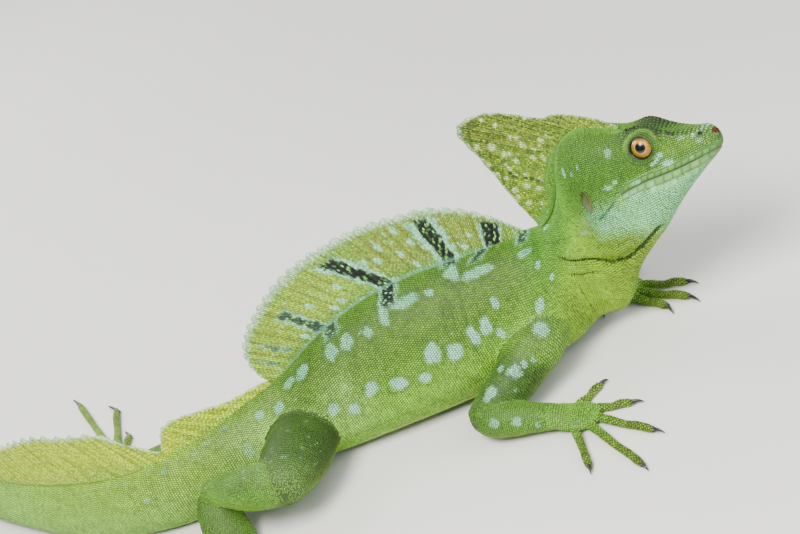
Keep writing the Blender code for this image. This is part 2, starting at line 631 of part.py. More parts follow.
def sail_rings(middle, left, shares, ray, root_half, edge_half):
    """Loops around each column of a sail: up its left face and down its right one.
    The half thickness falls from root to edge, and a ray's column stands proud."""
    proud = RAY_RELIEF * 1000 * np.sin(np.pi * np.clip(shares * 0.92 + 0.08, 0, 1)) ** 0.5
    half = (root_half + (edge_half - root_half) * shares ** 0.6) * 1000
    thick = half[None, :] + ray[:, None] * proud[None, :]
    near = middle + thick[..., None] * left[:, None]
    far = middle - thick[..., None] * left[:, None]
    return np.concatenate([near, far[:, ::-1]], axis=1)


def sail_split(levels):
    """Diagonals of a sail's side faces, the same on the left and on the right."""
    def pick(i, j):
        on_left = j < levels - 1
        return (i % 2 == 0) == on_left
    return pick


def build_sail(name, points_at, start, end, rays, levels, tooth, scale, material):
    """A sail with a ray on every second column; rays end in a small tooth."""
    columns = 2 * rays + 1
    at = np.linspace(start, end, columns)
    ray = (np.arange(columns) % 2).astype(float)
    shares = np.linspace(0, 1, levels) ** 0.85
    middle, left, length = points_at(at, shares, ray * tooth, scale)
    rings = sail_rings(middle, left, shares, ray, CREST_ROOT_HALF, CREST_EDGE_HALF)
    return ring_object(name, rings, material, sail_split(levels))


# Mouth: from the tip of the lips back to the jaw's hinge, then round the throat
JAW_OUTLINE = (
    (56, -0.6), (50.6, -1.6), (44, -2.6), (37, -3.6), (30.4, -4.6), (24.4, -5.6),
    (17.5, -7.0), (13, -9.5), (10.5, -14), (9.5, -20), (9, -34), (9, -60), (60, -60),
    (60, -0.6),
)


def build_head(material, jaw_material):
    """Head with lids, eye sockets, nostrils and ears, and the jaw parted from it."""
    head = body_piece("head", 164.4, 230.2, 25, 36, material)
    jaw = body_piece("lower_jaw", 164.4, 230.2, 25, 36, jaw_material)
    combine(jaw, [head_prism("jaw_side", JAW_OUTLINE, 30)], "INTERSECT")
    gap = GAP * 1000
    combine(head, [head_prism("jaw_room", JAW_OUTLINE, 31, (-gap, gap))], "DIFFERENCE")
    lids, hollows = [], []
    x, y, z = EYE_PLACE
    for name, side in (("left", 1), ("right", -1)):
        lids.append(lid_ring("lids_" + name, (x, side * (y + 2.8), z), 5.4, 5.0, 1.2,
                             side * 0.2))
        room = EYE_RADIUS * 1000 + gap
        hollows.append(ellipsoid("socket_" + name, (x, side * y, z), (room,) * 3, 20, 12))
        hollows.append(ellipsoid("nostril_" + name, (47.6, side * 5.3, 4.6),
                                 (1.1, 1.5, 0.8), 10, 6, turn=0.5))
        hollows.append(ellipsoid("ear_" + name, (-0.2, side * 14.9, -6.8),
                                 (1.5, 1.9, 4.2), 12, 8, turn=0.1))
    combine(head, lids, "UNION")
    combine(head, hollows, "DIFFERENCE")
    return head, jaw


def build_eyes(material):
    for name, side in (("eye_left", 1), ("eye_right", -1)):
        x, y, z = EYE_PLACE
        ellipsoid(name, (x, side * y, z), (EYE_RADIUS * 1000,) * 3, 20, 12, material)


def build_limb(names, chains, hand, materials):
    """Upper limb, lower limb and hand or foot, each fitted round the one before."""
    skin, toes = materials
    gap = GAP * 1000 + 0.05
    upper = ring_object(names[0], tube_rings(LIMBS[chains[0]], 14, 9), skin)
    combine(upper, [body_piece("body_room", -70, 172, 64, 32, None, gap)], "DIFFERENCE")
    lower = ring_object(names[1], tube_rings(LIMBS[chains[1]], 14, 9), skin)
    room = ring_object("upper_room", tube_rings(LIMBS[chains[0]], 14, 9, gap), None)
    combine(lower, [room, body_piece("body_room", -120, 172, 72, 32, None, gap)],
            "DIFFERENCE")
    palm, digits = HANDS[hand]
    end = ring_object(names[2], tube_rings(palm, 10), toes)
    parts = []
    for k, (root, tip, claw) in enumerate(digits):
        rows = digit_rows(root, tip, claw, DIGIT_RADIUS[hand])
        parts.append(ring_object("digit_%d" % k, tube_rings(rows, 7), None))
    combine(end, parts, "UNION")
    room = ring_object("lower_room", tube_rings(LIMBS[chains[1]], 14, 9, gap), None)
    combine(end, [room], "DIFFERENCE")
    for piece in (upper, lower, end):
        combine(piece, [floor_slab()], "DIFFERENCE")


def main():
    clear_scene()
    green = new_material("body_green", (0.17, 0.30, 0.07), 0.55)
    tail_green = new_material("tail_green", (0.24, 0.40, 0.20), 0.55)
    throat = new_material("throat_pale", (0.42, 0.55, 0.38), 0.55)
    crest = new_material("crest_olive", (0.36, 0.40, 0.10), 0.5)
    toes = new_material("toe_olive", (0.28, 0.36, 0.12), 0.55)
    iris = new_material("eye_orange", (0.55, 0.22, 0.04), 0.08)

    body_piece("tail_tip", -480, -300.15, 14, 16, tail_green)
    body_piece("tail_rear", -299.85, -180.15, 10, 18, tail_green)
    body_piece("tail_middle", -179.85, -80.15, 9, 20, tail_green)
    body_piece("tail_base", -79.85, -0.15, 8, 24, tail_green)
    body_piece("abdomen", 0.15, 62.0, 9, 28, green)
    body_piece("chest", 62.3, 130.0, 9, 28, green)
    body_piece("neck", 130.35, 164.0, 14, 30, throat)
    build_head(green, throat)
    build_eyes(iris)

    def along(table):
        return lambda s, w, tooth, scale: sail_points(table, s, w, tooth, scale)

    build_sail("dorsal_crest", along(BACK_SAIL), 130, 14, DORSAL_RAYS, 5, 0.05,
               DORSAL_CREST_SCALE, crest)
    for name, start, end, rays in TAIL_CRESTS:
        build_sail(name, along(TAIL_SAIL), start, end, rays, 4, 0.06,
                   DORSAL_CREST_SCALE, crest)
    build_sail("head_crest", head_sail_points, 0, 17, HEAD_RAYS, 4, 0.02,
               HEAD_CREST_SCALE, green)

    for side in ("right", "left"):
        arm = [side + "_upper_arm", side + "_forearm", side + "_hand"]
        leg = [side + "_thigh", side + "_shin", side + "_foot"]
        build_limb(arm, arm[:2], arm[2], (green, toes))
        build_limb(leg, leg[:2], leg[2], (green, toes))


main()
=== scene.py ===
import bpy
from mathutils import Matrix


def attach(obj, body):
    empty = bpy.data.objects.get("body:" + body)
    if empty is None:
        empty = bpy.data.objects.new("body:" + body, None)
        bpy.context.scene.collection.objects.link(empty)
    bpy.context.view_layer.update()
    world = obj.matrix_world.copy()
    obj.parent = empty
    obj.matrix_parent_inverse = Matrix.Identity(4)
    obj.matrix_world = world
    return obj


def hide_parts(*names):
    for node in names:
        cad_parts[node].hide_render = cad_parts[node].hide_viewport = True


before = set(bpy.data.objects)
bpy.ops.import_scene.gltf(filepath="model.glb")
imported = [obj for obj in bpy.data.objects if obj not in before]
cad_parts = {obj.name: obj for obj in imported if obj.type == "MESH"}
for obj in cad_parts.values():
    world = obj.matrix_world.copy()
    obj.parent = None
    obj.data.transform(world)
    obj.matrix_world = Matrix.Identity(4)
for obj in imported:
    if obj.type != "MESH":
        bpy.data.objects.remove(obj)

"""Green basilisk, the dressed model: one skin with the scales, sails, eyes and claws
that lie over it.  Sizes are millimetres in the tables and metres in the meshes; the
surface functions repeat the named sizes of the solids."""
import functools
import math

import bmesh
import bpy
import numpy as np
from mathutils import Matrix, Vector
from mathutils.bvhtree import BVHTree
from mathutils.kdtree import KDTree

bl_info = {
    "name": "Green basilisk",
    "version": (1, 0, 0),
    "blender": (4, 5, 0),
    "location": "View3D > Sidebar > Basilisk",
    "description": "Skin, scales, sails, eyes and claws of a life-size basilisk",
    "category": "Add Mesh",
}

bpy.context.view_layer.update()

MM = 0.001
ORIGIN = (-129.2, 15.3, 0.0)      # the floor frame's middle, in table units
HEAD_PLACE = (145.5, 4.5, 63.8)
HEAD_YAW = math.radians(-25.0)
HEAD_PITCH = math.radians(7.5)
HEAD_ROLL = math.radians(21.0)
EYE_PLACE = (26.5, 6.2, 6.3)
EYE_RADIUS = 5.2
SAIL_ROOT = 0.9           # how deep a sail stands in the skin
SAIL_ROOT_HALF = 1.35     # half thickness at the root and at the edge
SAIL_EDGE_HALF = 0.28
RAY_PROUD = 0.34
SKIN_DEPTH = 0.15         # the skin lies this far under the solids' surface


# Shape functions

def through(knots, values, at):
    """Smooth curve through the values at the knots: cubics whose slope at a knot is the
    weighted mean of the slopes of both spans."""
    knots = np.asarray(knots, float)
    values = np.asarray(values, float)
    flat = values.ndim == 1
    if flat:
        values = values[:, None]
    at = np.clip(np.asarray(at, float), knots[0], knots[-1])
    step = np.diff(knots)[:, None]
    rise = np.diff(values, axis=0) / step
    slope = np.empty_like(values)
    slope[0], slope[-1] = rise[0], rise[-1]
    slope[1:-1] = (rise[:-1] * step[1:] + rise[1:] * step[:-1]) / (step[1:] + step[:-1])
    i = np.clip(np.searchsorted(knots, at, side="right") - 1, 0, len(step) - 1)
    h = step[i, 0][..., None]
    t = (at - knots[i])[..., None] / h
    out = ((1 + 2 * t) * (1 - t) ** 2 * values[i] + t * (1 - t) ** 2 * h * slope[i]
           + t * t * (3 - 2 * t) * values[i + 1] + t * t * (t - 1) * h * slope[i + 1])
    return out[..., 0] if flat else out


def unit(v):
    """Vectors scaled to length one."""
    return v / np.maximum(np.linalg.norm(v, axis=-1, keepdims=True), 1e-12)


def circle(points):
    """Angles of evenly spread points round a circle."""
    return np.linspace(0, 2 * np.pi, points, endpoint=False)


def lattice(a, b):
    """Two rows of values spread over a grid, the first along its rings."""
    return np.broadcast_arrays(a[:, None], b[None, :])


def steps(p, axis=0):
    """Distances between neighbouring points."""
    return np.linalg.norm(np.diff(p, axis=axis), axis=-1)


def running(values):
    """Sums from the start along the last axis, beginning with zero."""
    return np.concatenate([np.zeros(values.shape[:-1] + (1,)), np.cumsum(values, -1)], -1)


def head_axes():
    """Rows are the head's x, y and z axes: a roll about x, then a pitch, then a yaw."""
    (cy, sy), (cp, sp), (cr, sr) = ((math.cos(a), math.sin(a)) for a in (HEAD_YAW, HEAD_PITCH, HEAD_ROLL))
    roll = np.array([[1, 0, 0], [0, cr, sr], [0, -sr, cr]])
    pitch = np.array([[cp, 0, -sp], [0, 1, 0], [sp, 0, cp]])
    yaw = np.array([[cy, -sy, 0], [sy, cy, 0], [0, 0, 1]])
    return (yaw @ pitch @ roll).T


HEAD_AXES = head_axes()


def from_head(p):
    """Head frame to the floor's frame, millimetres."""
    return np.asarray(p, float) @ HEAD_AXES + np.asarray(HEAD_PLACE)


def to_head(p):
    """The floor's frame to the head frame, millimetres."""
    return (np.asarray(p, float) - np.asarray(HEAD_PLACE)) @ HEAD_AXES.T


def head_parts(p):
    """Coordinates x, distance from the middle plane and z of points in the head frame."""
    h = to_head(p)
    return h[..., 0], np.abs(h[..., 1]), h[..., 2]


def turn_share(v):
    """Share of the half turn from the crown, zero, to the belly, one."""
    return np.abs((v + np.pi) % (2 * np.pi) - np.pi) / np.pi


# Stations of the body, millimetres.  Each row: distance along the animal from the
# vent, crown of the section, foot of the section, half width, height of the widest
# place as a share, and the powers that round the upper and the lower half.
# A place of two numbers is (x, z) in the head's own frame, one of three is on the
# floor's frame.
STATIONS = (
    (-480, (-452, 124, 1.3), (-452, 124, -.2), .6, .45, 2, 2),
    (-430, (-404, 136, 4.8), (-404, 136, -.4), 2.2, .45, 2, 2),
    (-380, (-354, 139, 7.4), (-354, 139, -.6), 3.1, .45, 2, 2.1),
    (-330, (-304, 133, 9.8), (-304, 133, -.8), 4, .45, 1.9, 2.2),
    (-280, (-256, 118, 12.6), (-256, 118, -1), 5, .45, 1.9, 2.2),
    (-230, (-213, 93, 16), (-213, 93, -1), 6.1, .45, 1.9, 2.2),
    (-180, (-175, 61, 19.8), (-175, 61, -1), 7.3, .45, 1.9, 2.2),
    (-139, (-144, 34, 22.6), (-144, 34, -1), 8.5, .45, 1.9, 2.2),
    (-98, (-111, 9.5, 25.2), (-111, 9.5, -1), 9.8, .45, 1.9, 2.2),
    (-66, (-80.7, -5.5, 27.6), (-80.7, -5.5, -1), 11, .44, 1.9, 2.2),
    (-43, (-58, -10, 29.8), (-58, -10, -1), 12, .43, 1.9, 2.2),
    (-20, (-35.5, -6.8, 32), (-35.5, -6.8, -1), 13.2, .42, 1.9, 2.2),
    (0, (-16, -1, 34.5), (-16, -1.5, -1), 15, .42, 1.9, 2.3),
    (16, (-1, 2, 37.5), (0, 0, -1), 17.5, .41, 1.85, 2.4),
    (36, (19.5, 3.5, 46.8), (20, 0, -1), 20, .40, 1.8, 2.5),
    (56, (40, 5, 52.4), (41, 0, -1), 22, .40, 1.75, 2.5),
    (78, (61.5, 6.2, 54.2), (63, 0, -1), 22.5, .40, 1.75, 2.5),
    (98, (81.5, 6.8, 52.8), (84, 0, -.6), 21.5, .42, 1.8, 2.4),
    (118, (100, 7.4, 51.6), (103, 0, 1.5), 20, .45, 1.85, 2.2),
    (130, (110, 8.4, 50.5), (115, -1, 4.5), 17.5, .52, 1.9, 2),
    (139, (-31, -12.6), (122.5, -1, 8), 15.8, .58, 2, 1.7),
    (147, (-23, -8), (127.5, -1.2, 8.3), 15, .62, 2.1, 1.45),
    (155, (-16, 2.5), (131.5, -1.8, 7.9), 14.3, .62, 2.2, 1.3),
    (161, (-12.5, 10.5), (135.5, -3.5, 10), 14.2, .60, 2.4, 1.3),
    (168, (-7.5, 16.6), (140.5, -6.5, 17), 14.4, .58, 2.6, 1.35),
    (176, (0, 18.6), (3, -38.5), 14.6, .54, 2.8, 1.5),
    (185, (9, 16.4), (12.5, -31), 14.2, .50, 3, 1.7),
    (194, (18, 12.8), (19.5, -26.4), 12.6, .52, 3.2, 1.8),
    (203, (27, 10.6), (27.5, -19.6), 10.8, .50, 3.4, 1.9),
    (212, (36, 8.4), (36, -13.4), 8.9, .46, 2.8, 2),
    (221, (45, 7), (44.8, -7.8), 6.9, .42, 2.4, 2.1),
    (226, (50, 6), (49.6, -4.8), 5, .42, 2.2, 2.1),
    (229, (52.6, 3.4), (52, -2.9), 2.7, .45, 2, 2),
    (230.2, (53.3, 1.3), (53, -1.4), 1.2, .5, 2, 2),
)


def place_of(p):
    """A station's place in the floor's frame."""
    return from_head((p[0], 0, p[1])) if len(p) == 2 else np.array(p, float)


STATION_AT = np.array([row[0] for row in STATIONS], float)
STATION_VALUES = np.array([[*place_of(row[1]), *place_of(row[2]), *row[3:]]
                           for row in STATIONS])


# Share of the turn from straight ahead to the head's own direction
NECK_TURN = ((118, 0), (130, .06), (139, .2), (147, .4), (155, .62), (161, .78),
             (168, .92), (176, 1))


def body_frame(s):
    """Values of the sections at distances s along the animal (crown, foot, half width,
    widest share, both powers) and their left-hand direction."""
    s = np.asarray(s, float)
    f = through(STATION_AT, STATION_VALUES, s)
    track = (through(STATION_AT, STATION_VALUES, s + 1)[..., 3:6]
             - through(STATION_AT, STATION_VALUES, s - 1)[..., 3:6])
    track[..., 2] = 0
    turn = np.array(NECK_TURN)
    share = through(turn[:, 0], turn[:, 1], s)[..., None]
    ahead = (1 - share) * np.array([1, 0, 0]) + share * HEAD_AXES[0]
    ahead = np.where(s[..., None] < 100, unit(track), ahead)
    left = unit(np.cross(f[..., 0:3] - f[..., 3:6], ahead))
    return f, left


def body_at(s, v, grow=0):
    """Point of the body at distance s and angle v, zero at the crown and turning left:
    two half super-ellipses, across = sin(v)^(2/power), along = cos(v)^(2/power), on a
    shared widest line; grow moves it outward."""
    s = np.asarray(s, float)
    v = np.asarray(v, float)
    f, left = body_frame(s)
    crown, foot = f[..., 0:3], f[..., 3:6]
    up = unit(crown - foot)
    crown = crown + up * grow
    foot = foot - up * grow
    half = f[..., 6:7] + grow
    c, q = np.cos(v), np.sin(v)
    power = np.where(c > 0, f[..., 8], f[..., 9])
    across = (np.sign(q) * np.abs(q) ** (2 / power))[..., None]
    along = (np.abs(c) ** (2 / power))[..., None]
    mid = foot + (crown - foot) * f[..., 7:8]
    p = mid + across * half * left + along * np.where(c[..., None] > 0, crown - mid, foot - mid)
    p = p + head_relief(p, s)
    p[..., 2] = np.maximum(p[..., 2], -grow)
    return p


def bump(x, z, x0, z0, rx, rz, turn=0):
    """A soft hill, one at its centre and falling off as exp(-r^2) over rx and rz."""
    c, q = math.cos(turn), math.sin(turn)
    a = ((x - x0) * c + (z - z0) * q) / rx
    b = (-(x - x0) * q + (z - z0) * c) / rz
    return np.exp(-(a * a + b * b))


def rise(x, x0, width):
    """Soft step from zero to one around x0."""
    return 0.5 + 0.5 * np.tanh((x - x0) / width)


# Hills and hollows of the side of the head and throat: height, place (x, z), reach
# along x and z, turn
HILLS = ((1.2, 25.5, 12, 8, 2.6), (-1.6, 26.8, 5.8, 6, 4.6), (-.8, 39, 2.2, 6, 2.6),
         (1, 4, 6, 9, 8), (1.6, 4, -15, 9, 8), (-1, 0, -7, 2.4, 5, .1),
         (.6, 46.5, 3.5, 3.5, 3))
# Ridges on top, over (x, distance from the middle plane): brow, canthus and temple
RIDGES = ((4.6, 26.5, 8.2, 9.5, 4.4), (.9, 38, 5.6, 8, 2), (1, -1, 9.5, 10, 4.5))


def head_relief(p, s):
    """Offsets in the floor's frame of the hills and hollows of head and throat."""
    x, a, z = head_parts(p)
    side = np.tanh(to_head(p)[..., 1] / 2)
    lateral = sum(high * bump(x, z, *hill) for high, *hill in HILLS) - 1.5 * fold_hollow(x, z)
    upward = sum(high * bump(x, a, *ridge) for high, *ridge in RIDGES)
    out = np.stack([np.zeros_like(x), side * lateral, rise(z, 2, 2.5) * upward], -1)
    return (out * rise(s, 152, 5)[..., None]) @ HEAD_AXES


def fold_hollow(x, z):
    """Depth, zero to one, of the fold that runs in an arc across the throat."""
    line = -24 - 7.5 * np.cos((x + 2) / 15)
    ends = 0.5 - 0.5 * np.tanh((np.abs(x + 4) - 20) / 4)
    return np.exp(-((z - line) / 1.7) ** 2) * ends


def spine(s):
    """Crown line of the body and its upward direction, millimetres."""
    f = body_frame(s)[0]
    return f[..., 0:3], unit(f[..., 0:3] - f[..., 3:6])


# Sails of back and tail: distance along the animal, length of the ray, its backward
# lean in degrees
BACK_SAIL = (
    (130, .8, -14), (127, 3, -14), (124, 5.5, -14), (120, 8.6, -14), (116, 11.7, -13),
    (110, 16.5, -7), (104, 21, 0), (98, 24.2, 7), (92, 25.6, 13), (86, 27.2, 17),
    (80, 28.2, 21), (72, 29, 27), (64, 29.8, 33), (56, 29.8, 38), (48, 28.7, 43),
    (40, 26.5, 48), (32, 23.6, 51), (24, 18.5, 54), (20, 13.5, 55), (16, 6.9, 56),
    (14, 3, 57),
)
TAIL_SAIL = (
    (12, 2.2, 50), (8, 3.6, 49), (0, 4.9, 45), (-5, 7.1, 42), (-10, 10.6, 39),
    (-15, 13.1, 36), (-20, 13.9, 32), (-25, 13.9, 28), (-30, 12.3, 24), (-35, 7.7, 20),
    (-39, 3.4, 15), (-42, 4, 11), (-45, 7.5, 9), (-50, 12.6, 7), (-54, 16.6, 6),
    (-60, 21.6, 4), (-66, 23.2, 3), (-72, 24, 3), (-80, 24.9, 3), (-88, 26, 3),
    (-96, 25.6, 3), (-104, 24, 4), (-112, 21.8, 5), (-120, 19.4, 6), (-130, 17.2, 8),
    (-150, 13.6, 12), (-175, 9.8, 18), (-205, 6.2, 24), (-240, 3, 30), (-262, 1, 34),
)
# Sail of the head: distance of the root along the animal, free edge in the head's
# own frame (x, z), from the brow backward and down to the nape
HEAD_SAIL = (
    (191.4, 15.5, 14.4), (188.5, 10.3, 18.2), (184.5, 3, 21.9), (181, -4, 24.8),
    (178, -9.5, 26.4), (176, -13.6, 26), (174, -20, 28.3), (172, -27, 31.5),
    (170, -34, 34), (168, -41, 35), (166, -47.5, 34.6), (163.5, -51.6, 31.4),
    (161, -50.4, 26.5), (157.5, -46.6, 19.5), (153, -42.6, 10.5), (148, -38.6, .5),
    (143.5, -35.2, -6.5), (139.5, -32.6, -10.6),
)


# Sails: table, first and last place along it, rays and height of the teeth
SAILS = {
    "back": (BACK_SAIL, 130, 14, 30, 0.105),
    "tail": (TAIL_SAIL, 12, -262, 44, 0.09),
    "head": (HEAD_SAIL, 0, 17, 17, 0.02),
}


def sail_frame(name, a):
    """Root, whole ray and left-hand direction of a sail at places a along it.  A ray
    leans back from the upward direction; on the head it runs to the table's edge."""
    table = np.array(SAILS[name][0], float)
    if name == "head":
        row = through(np.arange(len(table)), table, a)
        crown = to_head(spine(row[..., 0])[0])
        ahead = unit(to_head(spine(row[..., 0] + 0.4)[0]) - to_head(spine(row[..., 0] - 0.4)[0]))
        lift = np.stack([-ahead[..., 2], np.zeros(a.shape), ahead[..., 0]], -1)
        root = (crown - SAIL_ROOT * lift) * np.array([1, 0, 1])
        edge = np.stack([row[..., 1], np.zeros(a.shape), row[..., 2]], -1)
        left = np.broadcast_to(HEAD_AXES[1], root.shape)
        return from_head(root), (edge - root) @ HEAD_AXES, left
    table = table[np.argsort(table[:, 0])]
    length = through(table[:, 0], table[:, 1], a)[..., None] + SAIL_ROOT
    lean = np.radians(through(table[:, 0], table[:, 2], a))[..., None]
    crown, up = spine(a)
    ahead = spine(a + 0.5)[0] - spine(a - 0.5)[0]
    ahead = unit(ahead - np.sum(ahead * up, -1, keepdims=True) * up)
    ray = np.cos(lean) * up - np.sin(lean) * ahead
    return crown - SAIL_ROOT * up, length * ray, np.cross(up, ahead)


def ray_slant(name, a, w):
    """How far a ray has moved back from its root at share w: only the tail's rays slant
    more than their table says."""
    if name != "tail":
        return np.zeros(a.shape)
    table = np.array(TAIL_SAIL, float)[::-1]
    return 0.5 * through(table[:, 0], table[:, 1], a) * w


def ray_phase(name, a, w):
    """Distance from the nearest ray of a sail, zero on a ray to one half way between."""
    start, end, rays = SAILS[name][1:4]
    run = (a + ray_slant(name, a, w) - start) / (end - start) * rays
    return 2 * np.abs(run - np.floor(run) - 0.5)


def sail_at(name, a, w, side, grow=0):
    """Point of a sail's left (side 1) or right (side -1) face at share w of its ray:
    half thickness falls from root to edge, rays stand proud and end in teeth."""
    root, ray, left = sail_frame(name, a)
    phase = ray_phase(name, a, w)
    lobe = np.sqrt(1 - phase ** 2) - 0.6 if name == "back" else (1 - phase) ** 1.5 - 0.35
    tooth = SAILS[name][4] * lobe * rise(w, 0.86, 0.05)
    proud = RAY_PROUD * np.exp(-(phase / 0.33) ** 2) * np.clip(w * 6, 0, 1)
    proud = proud * np.clip((1.02 - w) * 6, 0, 1)
    half = SAIL_ROOT_HALF + (SAIL_EDGE_HALF - SAIL_ROOT_HALF) * np.clip(w, 0, 1) ** 0.6
    p = root + (w * (1 + tooth))[..., None] * ray
    if name == "head":
        half = half + 2.4 * rise(under_temple(p), 2.2, 1.9)
    return p + (side * (half + proud + grow))[..., None] * left


def under_temple(p):
    """How far a point of the head's sail lies under the upper edge of the temple."""
    h = to_head(p)
    return np.interp(h[..., 0], TEMPLE_X, TEMPLE_Z) - h[..., 2]


# Upper rear edge of the temple against the head's sail, in the head's frame
TEMPLE_X = (-30, -24.2, -22.1, -17.4, -12.1, -6.2, 1.5, 8.5, 14.1)
TEMPLE_Z = (-9.5, -4.9, 3.5, 10.4, 14.8, 16.9, 15.9, 13.6, 12.3)


# Mouth line in the head's frame
MOUTH_X = (9, 13, 17.5, 24.4, 30.4, 37, 44, 50.6, 56)
MOUTH_Z = (-9.2, -8, -6.6, -5.6, -5.3, -4.8, -3.9, -2.9, -1.9)


def bell(x, x0, wide):
    """Soft hill of height one around x0."""
    return np.exp(-((x - x0) / wide) ** 2)


def over_mouth(x, z):
    """Height over the mouth line in the head's frame."""
    return z - np.interp(x, MOUTH_X, MOUTH_Z)


def ear_share(x, z):
    """Distance from the ear's middle, one at its rim."""
    return np.hypot((x - 0.4 + 0.1 * (z + 6.6)) / 2.5, (z + 6.6) / 4.5)


def eye_away(x, z, tall=1):
    """Distance from the eye's middle on the side of the head."""
    return np.hypot(x - EYE_PLACE[0], (z - EYE_PLACE[2]) * tall)


def nostril_share(x, z):
    """Distance from the nostril's middle, one at its rim."""
    return np.hypot((x - 48) / 1.15, (z - 4.4) / 0.8)


def drawn(lines, x, y, soft):
    """Share of drawn lines (points, strength, half width) at (x, y): the largest bell of
    the height over a line, faded at both ends."""
    out = np.zeros(x.shape)
    for line, strength, wide in lines:
        at, height = np.array(line).T
        ends = band(x, at[0], at[-1], soft)
        out = np.maximum(out, strength * ends * bell(y, np.interp(x, at, height), wide))
    return out


def band(x, low, high, soft):
    """One between low and high with soft ends."""
    return rise(x, low, soft) * (1 - rise(x, high, soft))


# Limbs: each chain holds rows of (x, y, z, half width, half height), millimetres
LIMBS = {
    "right_upper_arm": (
        (107, -4, 22, 9, 10), (101, -14, 18.6, 9.8, 10.2), (92, -22.6, 15.6, 9.6, 9.6),
        (83.5, -29.2, 12.6, 8.9, 8.7), (76.5, -33.8, 10.3, 8.1, 7.8), (71.6, -36.8, 9.2, 6.6, 6.7),
        (68.4, -38.6, 8.7, 4.2, 4.6), (67.2, -39.2, 8.6, 1.4, 1.6)),
    "right_forearm": (
        (70.2, -37.3, 9, 5, 5.7), (74.6, -38.7, 8.7, 6.7, 6.7), (80.2, -40.5, 8, 7.2, 6.7),
        (86.8, -42.6, 7, 6.6, 6), (92.4, -44.6, 6.1, 5.8, 5.1), (98, -46.5, 5.4, 5.4, 4.6)),
    "left_upper_arm": (
        (106, 8, 22, 9, 10), (106, 20, 19.4, 9.6, 10), (105.5, 31, 16.6, 9.1, 9.2),
        (105, 39.5, 14, 8.4, 8.2), (104.6, 46, 12, 7.6, 7.5), (104.4, 50.5, 10.4, 6, 6.2),
        (104.4, 53.2, 9.6, 3.6, 3.9), (104.4, 54, 9.4, 1.2, 1.4)),
    "left_forearm": (
        (104, 48.8, 10.5, 5.2, 6), (107.5, 45.8, 9.6, 6.8, 6.8), (112.5, 41, 8.4, 7.2, 6.6),
        (118, 35.4, 7, 6.6, 5.8), (123, 30, 6, 5.7, 5), (127.5, 25, 5.4, 5.3, 4.6)),
    "right_thigh": (
        (1, -3, 16, 14, 11), (0, -13, 17, 14.8, 11.8), (-2, -24, 18.4, 14.6, 12),
        (-4, -33, 19.8, 13.6, 11.4), (-5.6, -39.5, 20.6, 11.8, 10.4), (-6.6, -45, 20.6, 9.2, 8.8),
        (-7.2, -49.5, 20.2, 5.4, 5.6), (-7.4, -51.2, 20, 1.8, 2)),
    "right_shin": (
        (-5, -44, 20.6, 6.2, 6.4), (-10, -42.4, 20.9, 8.4, 8.4), (-17.5, -39.8, 20.8, 9, 8.8),
        (-25, -36.4, 20.2, 8.2, 8.2), (-31.5, -32.8, 19.4, 6.6, 6.8), (-37.5, -29.2, 18.4, 5.4, 5.6),
        (-42, -26.4, 17, 4.6, 4.8)),
    "left_thigh": (
        (-3, 3, 15, 12.5, 11.5), (-9, 10, 14.6, 12, 11), (-18, 14.2, 13.6, 11, 10.4),
        (-28, 16.6, 12.2, 9.8, 9.6), (-37, 18, 11, 8.8, 8.6), (-44, 19, 10.2, 7.6, 7.4),
        (-49.6, 20, 9.6, 4.8, 5), (-51.4, 20.4, 9.4, 1.8, 2)),
    "left_shin": (
        (-44.5, 19.4, 9.8, 5.2, 5.4), (-50.5, 20.2, 9, 6.8, 6.6), (-58.5, 21.8, 8.2, 7.2, 6.8),
        (-68, 24, 7.4, 6.4, 6), (-78, 26.4, 6.8, 5.2, 5), (-87, 28.8, 6.2, 4.5, 4.4),
        (-93.5, 31, 5.8, 4.1, 4.1)),
}
